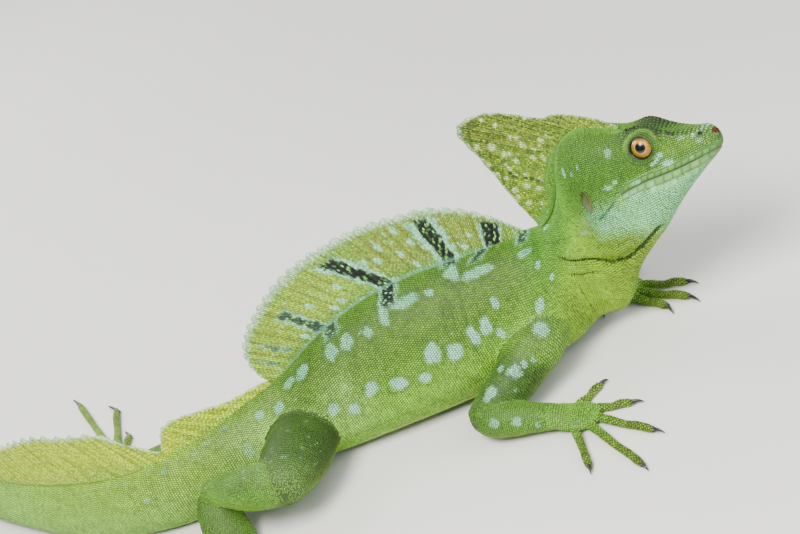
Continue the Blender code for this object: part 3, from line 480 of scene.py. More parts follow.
# Hands and feet: chain of the palm, then digits as (base x, y), (tip x, y), (claw x, y)
HANDS = {
    "right_hand": (
        ((94, -45.4, 5.8, 4.4, 4), (98.5, -46.7, 5.2, 5.6, 4.2), (103.5, -48, 3.5, 6.6, 3.5),
         (108.5, -49.4, 2.7, 7, 2.8), (112.3, -50.4, 2.1, 5.4, 2.1), (114, -50.9, 1.7, 2.4, 1.4)),
        (((104.5, -43.5), (116.4, -33.1), (119.4, -31.2)),
         ((109.5, -46.2), (126.6, -50.4), (130.8, -51.7)),
         ((110.5, -50.5), (132, -69.9), (135.3, -72.9)),
         ((108.6, -53.6), (125.2, -85.8), (126.5, -89.2)),
         ((103.6, -53.4), (106.3, -76.7), (106.1, -79.9)))),
    "left_hand": (
        ((125.6, 27.3, 5.8, 4.4, 4), (128.6, 23.8, 5.2, 5.5, 4.2), (132, 19.8, 3.5, 6.5, 3.5),
         (135.4, 15.8, 2.7, 7, 2.8), (138, 12.8, 2.1, 5.4, 2.1), (139.2, 11.4, 1.7, 2.4, 1.4)),
        (((129, 19.6), (123.8, 10.5), (122.8, 7.4)),
         ((134, 12.8), (148.2, -2.4), (149.6, -7.6)),
         ((136.8, 13.6), (157.4, -1.6), (160.6, -6.4)),
         ((138.4, 16.6), (158, 8.2), (162, 5.4)),
         ((133.4, 20.6), (138.6, 34), (139.6, 37.2)))),
    "right_foot": (
        ((-39, -26.2, 18, 4.2, 4.4), (-41, -28.6, 15.4, 6.6, 5), (-40, -34.5, 11.2, 8.6, 4.6),
         (-37.4, -43, 6.4, 9.4, 3.9), (-34.8, -51.5, 3.2, 9, 3.1), (-33.2, -57.5, 2.3, 6.8, 2.2),
         (-32.6, -59.9, 1.8, 3, 1.5)),
        (((-32.4, -49), (-14.4, -60), (-11, -60.8)),
         ((-29.8, -54), (-7.4, -74), (-4, -76)),
         ((-31, -57), (-8.6, -92), (-6.4, -96)),
         ((-34.6, -57.4), (-22.4, -106.5), (-21.6, -111.5)),
         ((-40.8, -48), (-50.5, -78), (-52.4, -81.8)))),
    "left_foot": (
        ((-90.6, 30.2, 6, 3.6, 3.8), (-94, 32.6, 5.6, 4.6, 3.9), (-97, 37.4, 4.8, 5, 3.4),
         (-99.8, 43, 3.6, 5.4, 3), (-102.4, 48.6, 2.6, 5.6, 2.5), (-104.2, 53, 2.1, 4.2, 2),
         (-105, 54.8, 1.7, 2, 1.3)),
        (((-97, 42), (-95.4, 60), (-98.6, 65.4)),
         ((-99.4, 48), (-104.6, 84), (-110.2, 91)),
         ((-102.4, 51), (-126, 101), (-131, 108.6)),
         ((-105, 50), (-148, 85), (-155.6, 90.8)),
         ((-103.8, 42), (-129, 54.6), (-135, 57)))),
}
DIGIT_RADIUS = {"right_hand": 1.55, "left_hand": 1.7, "right_foot": 1.75, "left_foot": 1.5}


def chain(rows):
    """Rows of a tube and the distance of each along its middle line."""
    rows = np.asarray(rows, float)
    return rows, running(steps(rows[:, :3]))


def tube_net(rows, rings, points):
    """Distances and angles of a tube's points, rings at equal steps."""
    return lattice(np.linspace(0, chain(rows)[1][-1], rings), circle(points))


def tube_at(rows, t, v, grow=0):
    """Point of a tube at distance t and angle v from its top: an ellipse, its width
    level, its height square to the middle line."""
    rows, run = chain(rows)
    f = through(run, rows, t)
    step = run[-1] * 0.002
    ahead = unit(through(run, rows[:, :3], t + step) - through(run, rows[:, :3], t - step))
    level = unit(np.cross(np.array([0, 0, 1]), ahead))
    upward = np.cross(ahead, level)
    grow = np.broadcast_to(grow, v.shape)[..., None]
    p = (f[..., 0:3] + np.cos(v)[..., None] * (f[..., 4:5] + grow) * upward
         + np.sin(v)[..., None] * (f[..., 3:4] + grow) * level)
    p[..., 2] = np.maximum(p[..., 2], 0)
    return p


# Profiles of a digit (low arches over the joints, a blunt tip on the floor) and of a
# claw (rooted in the tip, curved down to a point): share of the way, height, radius
DIGIT = ((0, 1.75, 1.18), (.28, 1.6, 1.04), (.55, .95, .92), (.78, 1.3, .96),
         (.96, .86, .82), (1.02, .84, .5))
CLAW = ((-.35, 1.3, .48), (0, 1.45, .58), (.3, 1.6, .49), (.62, 1.45, .34),
        (.86, .95, .19), (1, .42, .05))


def taper(profile, start, end, radius, high, wide, tall):
    """Rows of a tapering tube from start to end, the profile's heights times high and
    its radii times radius and wide or tall."""
    start, end = np.array(start, float), np.array(end, float)
    return [(*(start + (end - start) * a), high * h, radius * r * wide, radius * r * tall)
            for a, h, r in profile]


# Colours

def linear(code):
    """sRGB hex text to linear red, green and blue."""
    c = np.array([int(code[k:k + 2], 16) for k in (1, 3, 5)]) / 255
    return np.where(c <= 0.04045, c / 12.92, ((c + 0.055) / 1.055) ** 2.4)


def mix(a, b, share):
    """Blend of two colours, each a name or a value, share 0 to 1 of the second."""
    a, b = (PAINT[c] if isinstance(c, str) else c for c in (a, b))
    return a + (b - a) * np.clip(share, 0, 1)[..., None]


def layers(c, *coats):
    """Colour c with coats (colour, share) laid over it one after the other."""
    for colour, share in coats:
        c = mix(c, colour, share)
    return c


def ripple(p, size, seed):
    """Smooth variation between about -1 and 1: twelve sine waves of about that length,
    their directions drawn from the seed."""
    rng = np.random.default_rng(seed)
    ways = unit(rng.normal(size=(12, 3))) * rng.uniform(0.7, 1.6, (12, 1)) * 2 * np.pi / size
    return np.sin(p @ ways.T + rng.uniform(0, 2 * np.pi, 12)).mean(-1) * 2.2


# The paint "fold" is painted shade in the creases and under the mouth line, "mouth" painted shade in the
# mouth groove; the hip's paint is a painted highlight and the jaw's blue below the ear partly a painted
# sheen.
PAINT = {name: linear(code) for name, code in (
    ("back", "#4f7b20"), ("flank", "#5b8422"), ("low_flank", "#7fb732"), ("belly", "#9ec449"),
    ("temple", "#4e7f1e"), ("crown", "#243e0c"), ("snout", "#6b9738"), ("lore", "#6ea025"),
    ("upper_lip", "#61973e"), ("lower_lip", "#84bf66"), ("throat", "#86da8c"),
    ("jaw_blue_and_sheen", "#5aa672"), ("dewlap", "#7fa61d"), ("nape", "#589426"),
    ("tail", "#8ab233"), ("tail_blue", "#83b94e"), ("thigh", "#3f5d1d"), ("shin", "#5d9225"),
    ("arm", "#3f6619"), ("hand", "#72aa30"), ("toe", "#6f8c22"), ("toe_band", "#3a4716"),
    ("spot", "#9ce6b8"), ("spot_top", "#7fcb9c"), ("spot_rim_and_fold_shade", "#35541d"), ("black", "#10160c"),
    ("sail", "#7eb63a"), ("sail_low", "#7fbd53"), ("sail_brown", "#8a8428"),
    ("sail_edge", "#bbe2ba"), ("bar_edge", "#8dd6ab"), ("tail_sail", "#bcd812"),
    ("head_sail", "#628c22"), ("head_sail_dark", "#2c420d"), ("mouth", "#1b2a0f"),
    ("hip_highlight", "#98c85c"), ("knee", "#68903c"), ("ear", "#4b4f22"), ("rim", "#20290f"),
    ("red_mark", "#65150c"), ("fold", "#456526"), ("crest_spot", "#b6d084"),
    ("iris", "#8a5c00"), ("iris_streak", "#ac8000"), ("iris_dark", "#6e3a00"),
    ("iris_ring", "#b8920c"), ("iris_rim", "#1a0e04"), ("pupil", "#030303"),
    ("pupil_middle", "#050505"), ("eye_back", "#1c150e"),
)}

# Pale spots of the flank: distance along the animal, share of the way from crown to
# belly, length along and width across, millimetres
SPOTS = (
    (96.5, .11, 4.8, 7.2), (106.5, .165, 14.5, 3.6), (128, .19, 7, 3.2), (142, .12, 3.4, 3.2),
    (76, .165, 10.5, 3.8), (66, .175, 3.4, 7.2), (86, .17, 2.8, 2.6), (58, .21, 2.8, 3.4),
    (48.5, .19, 4.6, 5.6), (41.5, .185, 4.8, 5.8), (27, .16, 5.6, 4.8), (19.5, .145, 5.2, 4.4),
    (78, .40, 5.6, 5.6), (86, .43, 5.4, 4.8), (94.5, .405, 3, 5.8), (100.5, .395, 4.4, 5.2),
    (108, .33, 2, 4.6), (104.5, .45, 2.2, 3.6), (124, .46, 4.4, 4.2), (120, .56, 4, 3.6),
    (135, .43, 2.2, 2.2), (50, .42, 5.2, 3.8), (61, .455, 6.2, 4), (71, .48, 4.2, 3),
    (12, .23, 4.4, 4.6), (2, .20, 4.4, 4.2), (33, .42, 5.2, 3.6), (40.5, .47, 4.6, 3.6),
    (-10, .36, 2.6, 7), (-28, .15, 3, 2.8), (-22, .13, 2.6, 2.6), (-42, .16, 3.4, 4),
    (-14, .11, 3.4, 2.8), (-60, .14, 2.6, 2.4), (-80, .18, 2.4, 2.2), (-52, .34, 2.6, 3),
    (112, .62, 3, 3), (132, .30, 2.4, 2.2), (22, .50, 3.4, 3),
)


def speckle(s, t, p):
    """Share of spot colour and of the dark rim around spots at places (s, t)."""
    share = np.zeros(s.shape)
    rim = np.zeros(s.shape)
    half = np.pi * 26                     # half way round the body, millimetres
    wave = 0.25 * ripple(p, 5, 5)
    for s0, t0, length, width in SPOTS:
        r = np.hypot((s - s0) / (length / 2 + 0.3), (t - t0) * half / (width / 2 + 0.3)) + wave
        strength = 0.4 + 0.6 * float(rise(s0, -4, 6))
        share = np.maximum(share, strength * (1 - rise(r, 1, 0.12)))
        rim = np.maximum(rim, strength * bell(r, 1.5, 0.35))
    return share, rim


def body_colour(s, v, p):
    """Colour of the body at distance s, angle v and point p: olive back, green flank,
    yellow-green belly, pale throat, the head's fields, pale spots, a painted highlight on
    the hip and painted shade in the fine folds behind the shoulder."""
    t = turn_share(v)
    tail = 1 - rise(s, -12, 22)
    side = layers("tail", ("tail_blue", rise(t, 0.35, 0.1) * 0.6),
                  ("tail_blue", 1 - rise(s, -120, 60)))
    rings = 0.5 + 0.5 * np.sin(s * 2 * np.pi / 34 + 1.3)
    neck = rise(s, 126, 5)
    c = layers("flank", ("back", 1 - rise(t, 0.15, 0.05)), ("low_flank", rise(t, 0.42, 0.08)),
               ("belly", rise(t, 0.74, 0.06)), (side, tail),
               ("back", tail * (1 - rise(s, -150, 30)) * rings ** 3 * 0.4),
               ("nape", neck * (1 - rise(t, 0.55, 0.12))), ("dewlap", neck * rise(t, 0.5, 0.14)))
    c = head_colour(c, s, p)
    # pale patch over the hip and before it: a painted highlight
    hip_highlight = np.maximum(bell(s, -1 - 6 * t, 15) * band(t, 0.18, 0.62, 0.08),
                     0.7 * bell(s, 38, 9) * band(t, 0.3, 0.6, 0.06))
    share, rim = speckle(s, t, p)
    away = 1 - rise(s, 150, 2)
    fine = ripple(p, 3.2, 21)
    flecks = rise(fine, 1.25, 0.1) * band(t, 0.05, 0.5, 0.05) * band(s, -30, 150, 6)
    # the fine folds are darkened with the spots' rim paint as painted shade
    c = layers(c, ("hip_highlight", hip_highlight * 0.85), ("spot_rim_and_fold_shade", drawn(FINE_LINES, t, s, 0.02) * 0.35),
               ("spot_rim_and_fold_shade", rim * 0.28 * away),
               (mix("spot_top", "spot", rise(t, 0.3, 0.05)), share * 0.95 * away),
               ("spot", flecks * 0.3))
    for s0, lean, half, low, much in SADDLES:
        off = np.abs(s - s0 - lean * t) + 0.7 * ripple(p, 3.4, 18)
        reach = (1 - rise(t, low, 0.01)) * much
        net = 1 - rise(ripple(p, 2.2, 61), 0.5, 0.1)
        c = layers(c, ("bar_edge", (1 - rise(off, half + 1.6, 0.4)) * reach * 0.6),
                   ("black", (1 - rise(off, half, 0.3)) * net * reach))
    return c * (1 + 0.1 * ripple(p, 11, 3) + 0.12 * fine)[..., None]


def head_colour(c, s, p):
    """The head's fields over the body's colour c: temple, crown, snout, lips, pale
    throat with a blue patch that is partly a painted sheen, dark ridge before the eye,
    ringed lids with painted shade in their folds, painted shade in the creases and under
    the mouth line, pale and red marks."""
    x, a, z = head_parts(p)
    head = rise(s, 163, 3)
    mouth = np.interp(x, MOUTH_X, MOUTH_Z)
    below = head * rise(mouth - z, 0.2, 0.3) * rise(x, 11, 3)
    ridge = bell(a, np.interp(x, (30, 35.3, 38.7, 43.3, 46), (7.6, 6.3, 5.8, 4.8, 4)), 0.5)
    dashes = 0.65 + 0.5 * ripple(p, 2, 72)
    r = eye_away(x, z, LID_TALL)
    lid = head * rise(a, 6.2, 0.4) * (1 - rise(r, 8.2, 0.5))
    # share of each groove between the lids' folds, used for painted shade
    folds = (0.5 + 0.5 * np.cos((r - 5.2) * 2 * np.pi / LID_FOLDS)) ** 2
    c = layers(
        c, ("temple", head * rise(z, -10, 4)),
        ("crown", head * rise(z, 10.3 - 0.12 * np.clip(x - 25, 0, 30), 1.2) * rise(x, 21, 2.5)),
        ("lore", head * band(x, 33, 47, 2.5) * band(z, 0.5, 5.5, 1.2)),
        ("snout", rise(x, 45, 2) * rise(z, mouth + 0.8, 0.5) * 0.8),
        ("upper_lip", head * rise(x, 15, 2) * band(z, mouth, mouth + 3, 0.6)),
        ("throat", np.maximum(below, head * band(z, -22, -11, 2.5) * rise(x, -1, 4))),
        ("lower_lip", below * (1 - rise(mouth - z, 3.4, 0.5))),
        # blue patch below the ear: partly the jaw's blue, partly a painted sheen
        ("jaw_blue_and_sheen", head * np.exp(-((x - 4) / 7) ** 2 - ((z + 13) / 4) ** 2) * 0.75),
        ("dewlap", head * (1 - rise(z, -25, 3.5))),
        # painted shade just under the mouth line
        ("fold", head * 0.5 * np.exp(-((z - (mouth - 0.3)) / 0.5) ** 2) * rise(x, 14, 1)),
        ("rim", head * ridge * band(x, 29, 46.5, 1) * rise(z, 4.5, 0.5) * dashes),
        ("low_flank", lid * rise(z, 7.5, 0.8) * bell(r, 6, 0.7) * 0.7),
        ("crown", lid * rise(z, 5.5, 0.8) * bell(r, 7.2, 0.35) * 0.6),
        # painted shade in the grooves of the lids' folds
        ("crown", lid * folds * (1 - rise(z, 5, 1.2)) * rise(r, 4.9, 0.1) * 0.6),
        # painted shade in the creases of throat and cheek
        (PAINT["fold"] * 0.5, rise(s, 143, 3) * drawn(CREASES, x, z, 1.2)))
    for x0, z0, wide, tall, much in HEAD_MARKS:
        r = np.hypot((x - x0) / wide, (z - z0) / tall) + 0.3 * ripple(p, 2.4, 71)
        c = mix(c, "spot", head * much * (1 - rise(r, 1.05, 0.2)))
    red = np.exp(-((x - 52.5) / 1.1) ** 2 - ((z - 3.9) / 1.2) ** 2)
    return layers(c, ("red_mark", head * rise(red, 0.45, 0.1)),
                  ("crown", head * rise(x, 53, 0.6) * band(z, -2, 2.6, 0.6) * 0.7))


# Dark saddles under the sail's bars, and fine folds behind the shoulder, painted darker
# as painted shade, as points (share, distance) with strength and half width
SADDLES = ((130, -10, 1.6, .11, .9), (112.5, -60, 1.8, .1, .9), (96.5, 0, 2.6, .06, .95),
           (71.5, -15, 2.8, .15, 1), (43.5, 0, 2.2, .12, .85))
FINE_LINES = (
    (((.17, 98.5), (.26, 96), (.34, 95), (.43, 93), (.53, 93)), 1, .8),
    (((.22, 91), (.31, 91), (.36, 90)), 1, .8),
    (((.22, 89.5), (.29, 88), (.35, 86.5)), 1, .8),
)

# Pale spots of shoulders, upper arms and forearms: point, radius and strength
ARM_SPOTS = (
    (103.8, -20.3, 25.7, 2.9, 1), (84.8, -29.1, 22.1, 1.3, .8), (90.1, -32.1, 20.4, 2.3, .9),
    (87.9, -31.6, 20.9, 1.5, .8), (94, -30.2, 20.9, 1.3, .8), (97.4, -28.9, 20.3, 1, .5),
    (78.7, -35.5, 18.4, 2.4, .9), (76.4, -36.6, 16.9, 1.5, .7), (87.2, -36.4, 15.7, .9, .4),
    (76.1, -45.4, 11.9, 1.8, .75), (84.2, -47.7, 10.2, 1.8, .65), (91.2, -50, 6.9, 1.2, .4),
    (106, 22, 29, 2.9, 1), (104, 40, 23, 2.3, .9), (106, 34, 25.5, 1.4, .8),
    (107.5, 45, 18.5, 2.4, .9), (110, 51, 13, 1.8, .75), (117, 45, 11, 1.8, .65),
)

# Pale marks round the eye and cheek, in the head's frame
HEAD_MARKS = (
    (32.4, 1.8, 1.1, 1, .8), (31, .6, 1.1, .9, .8), (29.6, -.5, 1.1, .7, .7),
    (34.4, -1.7, 2, 1.1, .75), (43.2, -1.9, .6, .5, .7), (14.6, 8.4, 1.1, 1.5, .5),
    (13.9, -2.4, .9, .8, .75), (10.6, -3.6, 1.5, .8, .8), (21.4, -5, 1.4, .9, .55),
    (-5.8, 6, .7, 2, .8), (2, 6.6, .6, 1, .5), (-1.8, 5, .5, .9, .5),
    (-8, -18, 1.8, .9, .4), (3.5, -17.5, 3, .7, .55), (18.5, -9, 3.2, 1.2, .6),
    (26, -8, 1.8, .9, .5), (49.4, 6, 1.6, .8, .45), (46.2, 4.8, .9, .9, .6),
    (41, 5, 1.6, .6, .5), (47.6, 2.4, 1.2, .8, .4),
    (30, -12.5, 1.4, .8, .4), (9, -13.5, 2.6, .8, .4), (-3, -22, 1.2, .8, .4),
)


BASES = {"upper_arm": "arm", "forearm": "shin", "thigh": "thigh", "shin": "shin",
         "palm": "hand", "digit": "toe"}


def limb_colour(kind, share, v, p):
    """Colour of a limb from root to end and around: darker above, pale spots, pale dashes
    on the thigh's top that are painted highlight, and bands across the toes."""
    top = np.cos(v)
    c = layers(BASES[kind], ("belly", rise(-top, 0.45, 0.25) * 0.7),
               ("back", rise(top, 0.55, 0.25) * 0.35))
    if kind == "digit":
        rings = 0.5 + 0.5 * np.sin(share * 2 * np.pi * 7)
        c = layers("hand", (c, rise(share, 0.35, 0.2)),
                   ("toe_band", rings ** 3 * 0.4 * rise(top, -0.4, 0.4)),
                   ("toe_band", rise(share, 0.94, 0.02) * 0.6))
    elif kind in ("upper_arm", "forearm"):
        if kind == "upper_arm":
            flesh = mix("flank", "low_flank", rise(-p[..., 2], -23, 5))
            c = mix(flesh, c, rise(share, SLEEVE + 0.06 * top, 0.035))
        for *place, r, much in ARM_SPOTS:
            away = np.linalg.norm(p - np.array(place), axis=-1) / r + 0.25 * ripple(p, 2.6, 31)
            c = layers(c, ("spot_rim_and_fold_shade", bell(away, 1.5, 0.3) * 0.25 * much),
                       ("spot", (1 - rise(away, 1, 0.12)) * 0.9 * much))
    elif kind == "thigh":
        # pale dashes on the thigh's top: painted highlight streaks
        dash = rise(ripple(p * np.array([0.45, 1, 1.3]), 3, 31), 1, 0.12)
        c = layers(c, ("knee", rise(share, 0.82, 0.09) * 0.65),
                   ("spot", dash * 0.45 * rise(top, 0.1, 0.3) * band(share, 0.35, 0.8, 0.06)))
    elif kind == "shin":
        dash = rise(ripple(p * np.array([1.6, 0.7, 1]), 3.2, 33), 1.1, 0.12)
        c = layers(c, ("knee", (1 - rise(share, 0.12, 0.1)) * 0.5),
                   ("thigh", rise(top, 0.55, 0.2) * band(share, 0.2, 0.8, 0.08) * 0.45),
                   ("spot", dash * 0.35 * rise(top, 0.3, 0.3)),
                   ("thigh", rise(share, 0.9, 0.05) * 0.5))
    else:
        c = mix(c, "thigh", rise(-p[..., 0], 0, 5) * 0.6)
    return c * (1 + 0.1 * ripple(p, 9, 8) + 0.12 * ripple(p, 2.6, 9))[..., None]


SLEEVE = 0.4              # share of the upper arm that lies under the chest's skin
SLEEVE_FOLD = 0.6         # height of the fold in which that skin ends


# Dark bars of the back sail: place at the root, lean along the animal to the edge,
# half width of the dark net and of its pale border, lowest and highest share, strength
BARS = (
    (115.2, 1.6, 2.3, 4, -.1, .8, 1), (97.4, -.3, 1.7, 4.3, -.1, .84, 1),
    (72.2, -7.5, 1.8, 3.9, -.1, .8, 1), (41.4, 1.5, 1.1, 2.4, -.1, .7, .9),
    (29.8, -2, .45, .9, .2, .75, .7), (22.5, 0, .4, .8, .25, .75, .6),
    (128, 0, 1, 1.8, -.1, .6, .8),
)
# Pale dashes of the back sail: place and share
DASHES = (
    (90.6, .54), (81.1, .62), (85, .40), (108.2, .42), (89, .79), (77.3, .44), (73.7, .51),
    (60.4, .40), (56, .20), (49, .44), (51.7, .17), (36.2, .17), (104.8, .2), (86.4, .16),
)
# Pale spots of the head's sail in the head's frame: x, z, width and height; dark dots
CREST_SPOTS = (
    (-33.7, 28.9, 2.6, 1.8), (-29.2, 22.9, 2, 1.6), (-26.8, 21.9, 2.4, 1.6),
    (-25.3, 19, 1.6, 2.6), (-38.7, 21.5, 3.4, 3.2), (-45, 23.2, 2.4, 2.2),
    (-34.6, 17.4, 2.2, 2.4), (-32.2, 16.8, 1.8, 1.6), (-30.5, 13.8, 1.6, 2.2),
    (-13.9, 19.3, 1.2, 1), (-16.8, 18.5, 1.8, 1.6), (-18, 16.2, 1.2, 2),
    (-21.2, 15.7, 1.6, 1), (-22.7, 12.8, 1.8, 1.9), (-18.2, 11.4, 1.2, 2.6),
    (-35.7, 13.6, 1.3, 1), (-42.6, 15.3, 1.6, 1.2), (-34.5, 11.4, 1.6, 1.6),
    (-32.9, 8.4, 1.6, 1), (-40.7, 10.9, 1.6, 1.6), (-37.7, 8.4, 2, 1.6),
    (-28.6, 7.6, 1.6, 1.3), (-23.4, 4.1, 2, 1.6), (-30.2, 3.3, 3.2, 1.8),
    (-25.5, 1, 2.8, 1.6), (-22.4, 0, 1.4, 1.6), (-36.2, 2.9, 2.8, 2),
    (-35.7, 0, 1.6, 1.2), (-32.1, -3.3, 2.6, 1.6), (-26.8, -4.7, 1.2, 1.4),
    (-20.1, 28, 1.6, 1), (-38.5, 32.7, 2, 1), (-44.4, 34.3, 3.6, 1.2),
)
CREST_DOTS = ((-35.2, 9.8), (-33.8, 8), (-29.2, 6.3), (-26.7, 5.5), (-24.3, 3.7))


def crest_colour(streak, w, p, fine, dash):
    """Colour of the head's sail: dark olive net, densest above and behind, pale and
    dark spots, the temple's green at the root and the pale edge."""
    x, _, z = head_parts(p)
    net = np.abs(ripple(p, 2.1, 42)) + 0.5 * np.abs(ripple(p, 1.1, 43))
    shade = 0.35 + 0.3 * rise(z, 12, 8) + 0.25 * rise(w, 0.62, 0.1)
    c = layers(PAINT["head_sail"] * (1 + 0.1 * streak)[..., None],
               ("tail_sail", rise(fine, 0.2, 0.4) * 0.5),
               (PAINT["sail_brown"] * 0.7, rise(z, 17, 6) * (0.4 + 0.3 * fine)),
               ("head_sail_dark", (1 - rise(net, 0.42, 0.16)) * shade),
               ("head_sail_dark", rise(dash, 0.7, 0.2) * 0.5))
    for x0, z0, wide, tall in CREST_SPOTS:
        r = np.hypot((x - x0) / (0.5 * wide + 0.15), (z - z0) / (0.5 * tall + 0.15)) + 0.25 * fine
        c = mix(c, "crest_spot", (1 - rise(r, 1, 0.12)) * 0.95)
    for x0, z0 in CREST_DOTS:
        r = np.hypot((x - x0) / 1.1, (z - z0) / 0.7) + 0.2 * fine
        c = mix(c, "black", (1 - rise(r, 0.9, 0.15)) * 0.9)
    return layers(c, (PAINT["temple"] * (1.2 + 0.12 * fine)[..., None], rise(under_temple(p), 0, 0.5)),
                  ("sail_edge", rise(w + 0.02 * fine, 0.965, 0.012) * 0.7))


def sail_colour(name, a, w, p):
    """Colour of a sail at place a and share w: membrane streaked along the rays, dark
    bars broken into a net with pale borders, pale flecks and the pale ragged edge;
    painted shade in the creases between the rays, at the back sail's root and in the
    notches between the teeth."""
    phase = ray_phase(name, a, w)
    slant = a + ray_slant(name, a, w)
    high = w * np.linalg.norm(sail_frame(name, a)[1], axis=-1)
    grain = lambda flat, size, seed: ripple(np.stack([slant, high * flat, 0 * a], -1), size, seed)
    streak, dash, fine = grain(0.16, 1.5, 51), grain(0.45, 2, 52), ripple(p, 2, 12)
    if name == "head":
        return crest_colour(streak, w, p, fine, dash) * (1 + 0.1 * fine)[..., None]
    back = name == "back"
    # where the membrane creases between the rays; it sets painted shade
    crease = np.exp(-((1 - phase) / 0.16) ** 2) * band(w, 0.05, 0.95, 0.04)
    c = mix("sail" if back else "tail_sail", "sail_low", (1 - rise(w, 0.2, 0.12)) * 0.5)
    if back:
        warm = 0.15 + 0.35 * band(a, 74, 122, 5) + 0.35 * streak
        c = layers(c, ("tail_sail", (1 - rise(a, 66, 8)) * 0.35 * band(w, 0.1, 0.9, 0.1)),
                   ("sail_brown", band(w, 0.12, 0.88, 0.08) * np.clip(warm, 0, 1)),
                   # creases between the rays darkened: painted shade
                   (PAINT["sail_brown"] * 0.6, crease * 0.6 * band(a, 20, 122, 4)))
    thin = (1 - rise(np.abs(grain(0.05, 2.4, 53)), 0.2, 0.1)) * band(w, 0.06, 0.97, 0.03)
    dark, pale = (0.3, 0.55) if back else (0.45, 0.12)
    c = layers(c, ("head_sail_dark", np.maximum(rise(streak, 0.5, 0.25) * 0.3, thin * dark)),
               # creases between the rays darkened: painted shade
               ("head_sail_dark", crease * dark * 0.7),
               ("sail_edge", rise(-dash, 0.9, 0.12) * pale))
    if back:
        # dark olive at the back sail's root: partly the back's colour, partly painted shade where sail
        # meets back
        c = mix(c, "back", (1 - rise(w, 0.16, 0.05)) * band(a, 20, 124, 6) * 0.5)
        for a0, w0 in DASHES:
            r = np.hypot((a - a0) / 1, (w - w0) * 27 / 1.7) + 0.2 * fine
            c = mix(c, "spot", (1 - rise(r, 1, 0.15)) * 0.85)
        cells = rise(ripple(p, 1.9, 17), 0.5, 0.1)
        for a0, lean, half, border, low, top, much in BARS:
            off = np.abs(a - a0 - lean * w + 0.3 * ripple(p, 4, 19)) + 0.75 * ripple(p, 2.6, 18)
            reach = band(w, low, top + 0.04 * fine, 0.015) * much
            inside = (1 - rise(off, half * 1.4, 0.2)) * reach
            c = layers(c, ("bar_edge", (1 - rise(off, border, 0.3)) * reach * 0.9),
                       ("black", inside * (1 - 0.85 * cells)), ("sail", inside * cells * 0.8))
        c = mix(c, "bar_edge", (1 - rise(w, 0.07, 0.015)) * 0.55 * band(a, 17, 126, 3))
    rim = w + 0.035 * fine + 0.04 * (1 - phase)
    c = mix(c, "sail_edge", rise(rim, 0.93 if back else 0.965, 0.02) * 0.9)
    # painted shade in the notches between the teeth
    c = c * (1 - 0.45 * np.exp(-((1 - phase) / 0.22) ** 2) * rise(w, 0.88, 0.03))[..., None]
    return c * (1 + 0.2 * streak + 0.12 * fine)[..., None]


# Meshes

def placed(p):
    """Table units in the floor's frame to metres in the model's frame."""
    return (np.asarray(p, float) - np.asarray(ORIGIN)) * MM


def new_mesh(name, verts_mm, faces):
    """Mesh from points in millimetres and an array or list of faces."""
    mesh = bpy.data.meshes.new(name)
    if isinstance(faces, np.ndarray) and faces.ndim == 2:
        count, sides = faces.shape
        verts = placed(verts_mm).astype(np.float32)
        mesh.vertices.add(len(verts))
        mesh.vertices.foreach_set("co", verts.ravel())
        mesh.loops.add(count * sides)
        mesh.loops.foreach_set("vertex_index", faces.astype(np.int32).ravel())
        mesh.polygons.add(count)
        mesh.polygons.foreach_set("loop_start", np.arange(0, count * sides, sides, dtype=np.int32))
        mesh.update(calc_edges=True)
    else:
        mesh.from_pydata(placed(verts_mm).tolist(), [], faces)
    mesh.validate()
    return mesh


def link(name, mesh):
    """Object for a mesh, at the origin."""
    obj = bpy.data.objects.new(name, mesh)
    bpy.context.scene.collection.objects.link(obj)
    return obj


def set_colour(mesh, colours):
    """Store linear colours, one for each vertex, as the attribute "coat"."""
    layer = mesh.attributes.new("coat", "FLOAT_COLOR", "POINT")
    data = np.ones((len(mesh.vertices), 4), np.float32)
    data[:, :3] = np.clip(colours, 0, 1)
    layer.data.foreach_set("color", data.ravel())


def set_bake_map(mesh, places):
    """Store map places, one for each vertex, as the UV map OFBake."""
    layer = mesh.uv_layers.new(name="OFBake")
    index = np.empty(len(mesh.loops), np.int32)
    mesh.loops.foreach_get("vertex_index", index)
    layer.data.foreach_set("uv", places[index].astype(np.float32).ravel())


def tube_faces(count, points, first=0):
    """Faces of a tube, its points numbered from first: quads between the rings, and a
    fan at each end round one of the two last points."""
    i = np.arange(count - 1)[:, None] * points + first
    j = np.arange(points)
    k = (j + 1) % points
    quads = np.stack([i + j, i + k, i + points + k, i + points + j], -1).reshape(-1, 4)
    tip = np.full(points, first + count * points)
    last = first + (count - 1) * points
    return quads.tolist() + np.concatenate([
        np.stack([first + k, first + j, tip], -1), np.stack([last + j, last + k, tip + 1], -1)]).tolist()


def tube_points(grid):
    """Points of a tube from a grid (rings, around), with the middles of both ends."""
    return np.concatenate([grid.reshape(-1, grid.shape[-1]), grid[0].mean(0)[None], grid[-1].mean(0)[None]])


def tube_mesh(name, grid):
    """Closed tube from a grid of points, its faces turned outward."""
    mesh = new_mesh(name, tube_points(grid), tube_faces(*grid.shape[:2]))
    outward(mesh)
    return mesh


def outward(mesh):
    """Faces turned to point out of a closed mesh."""
    bm = bmesh.new()
    bm.from_mesh(mesh)
    bmesh.ops.recalc_face_normals(bm, faces=bm.faces)
    bm.to_mesh(mesh)
    bm.free()


def read_points(mesh):
    """Vertex places of a mesh, metres."""
    p = np.empty(len(mesh.vertices) * 3, np.float32)
    mesh.vertices.foreach_get("co", p)
    return p.reshape(-1, 3).astype(float)


def table_units(p):
    """Metres in the model's frame to table units in the floor's frame."""
    return p / MM + np.asarray(ORIGIN)


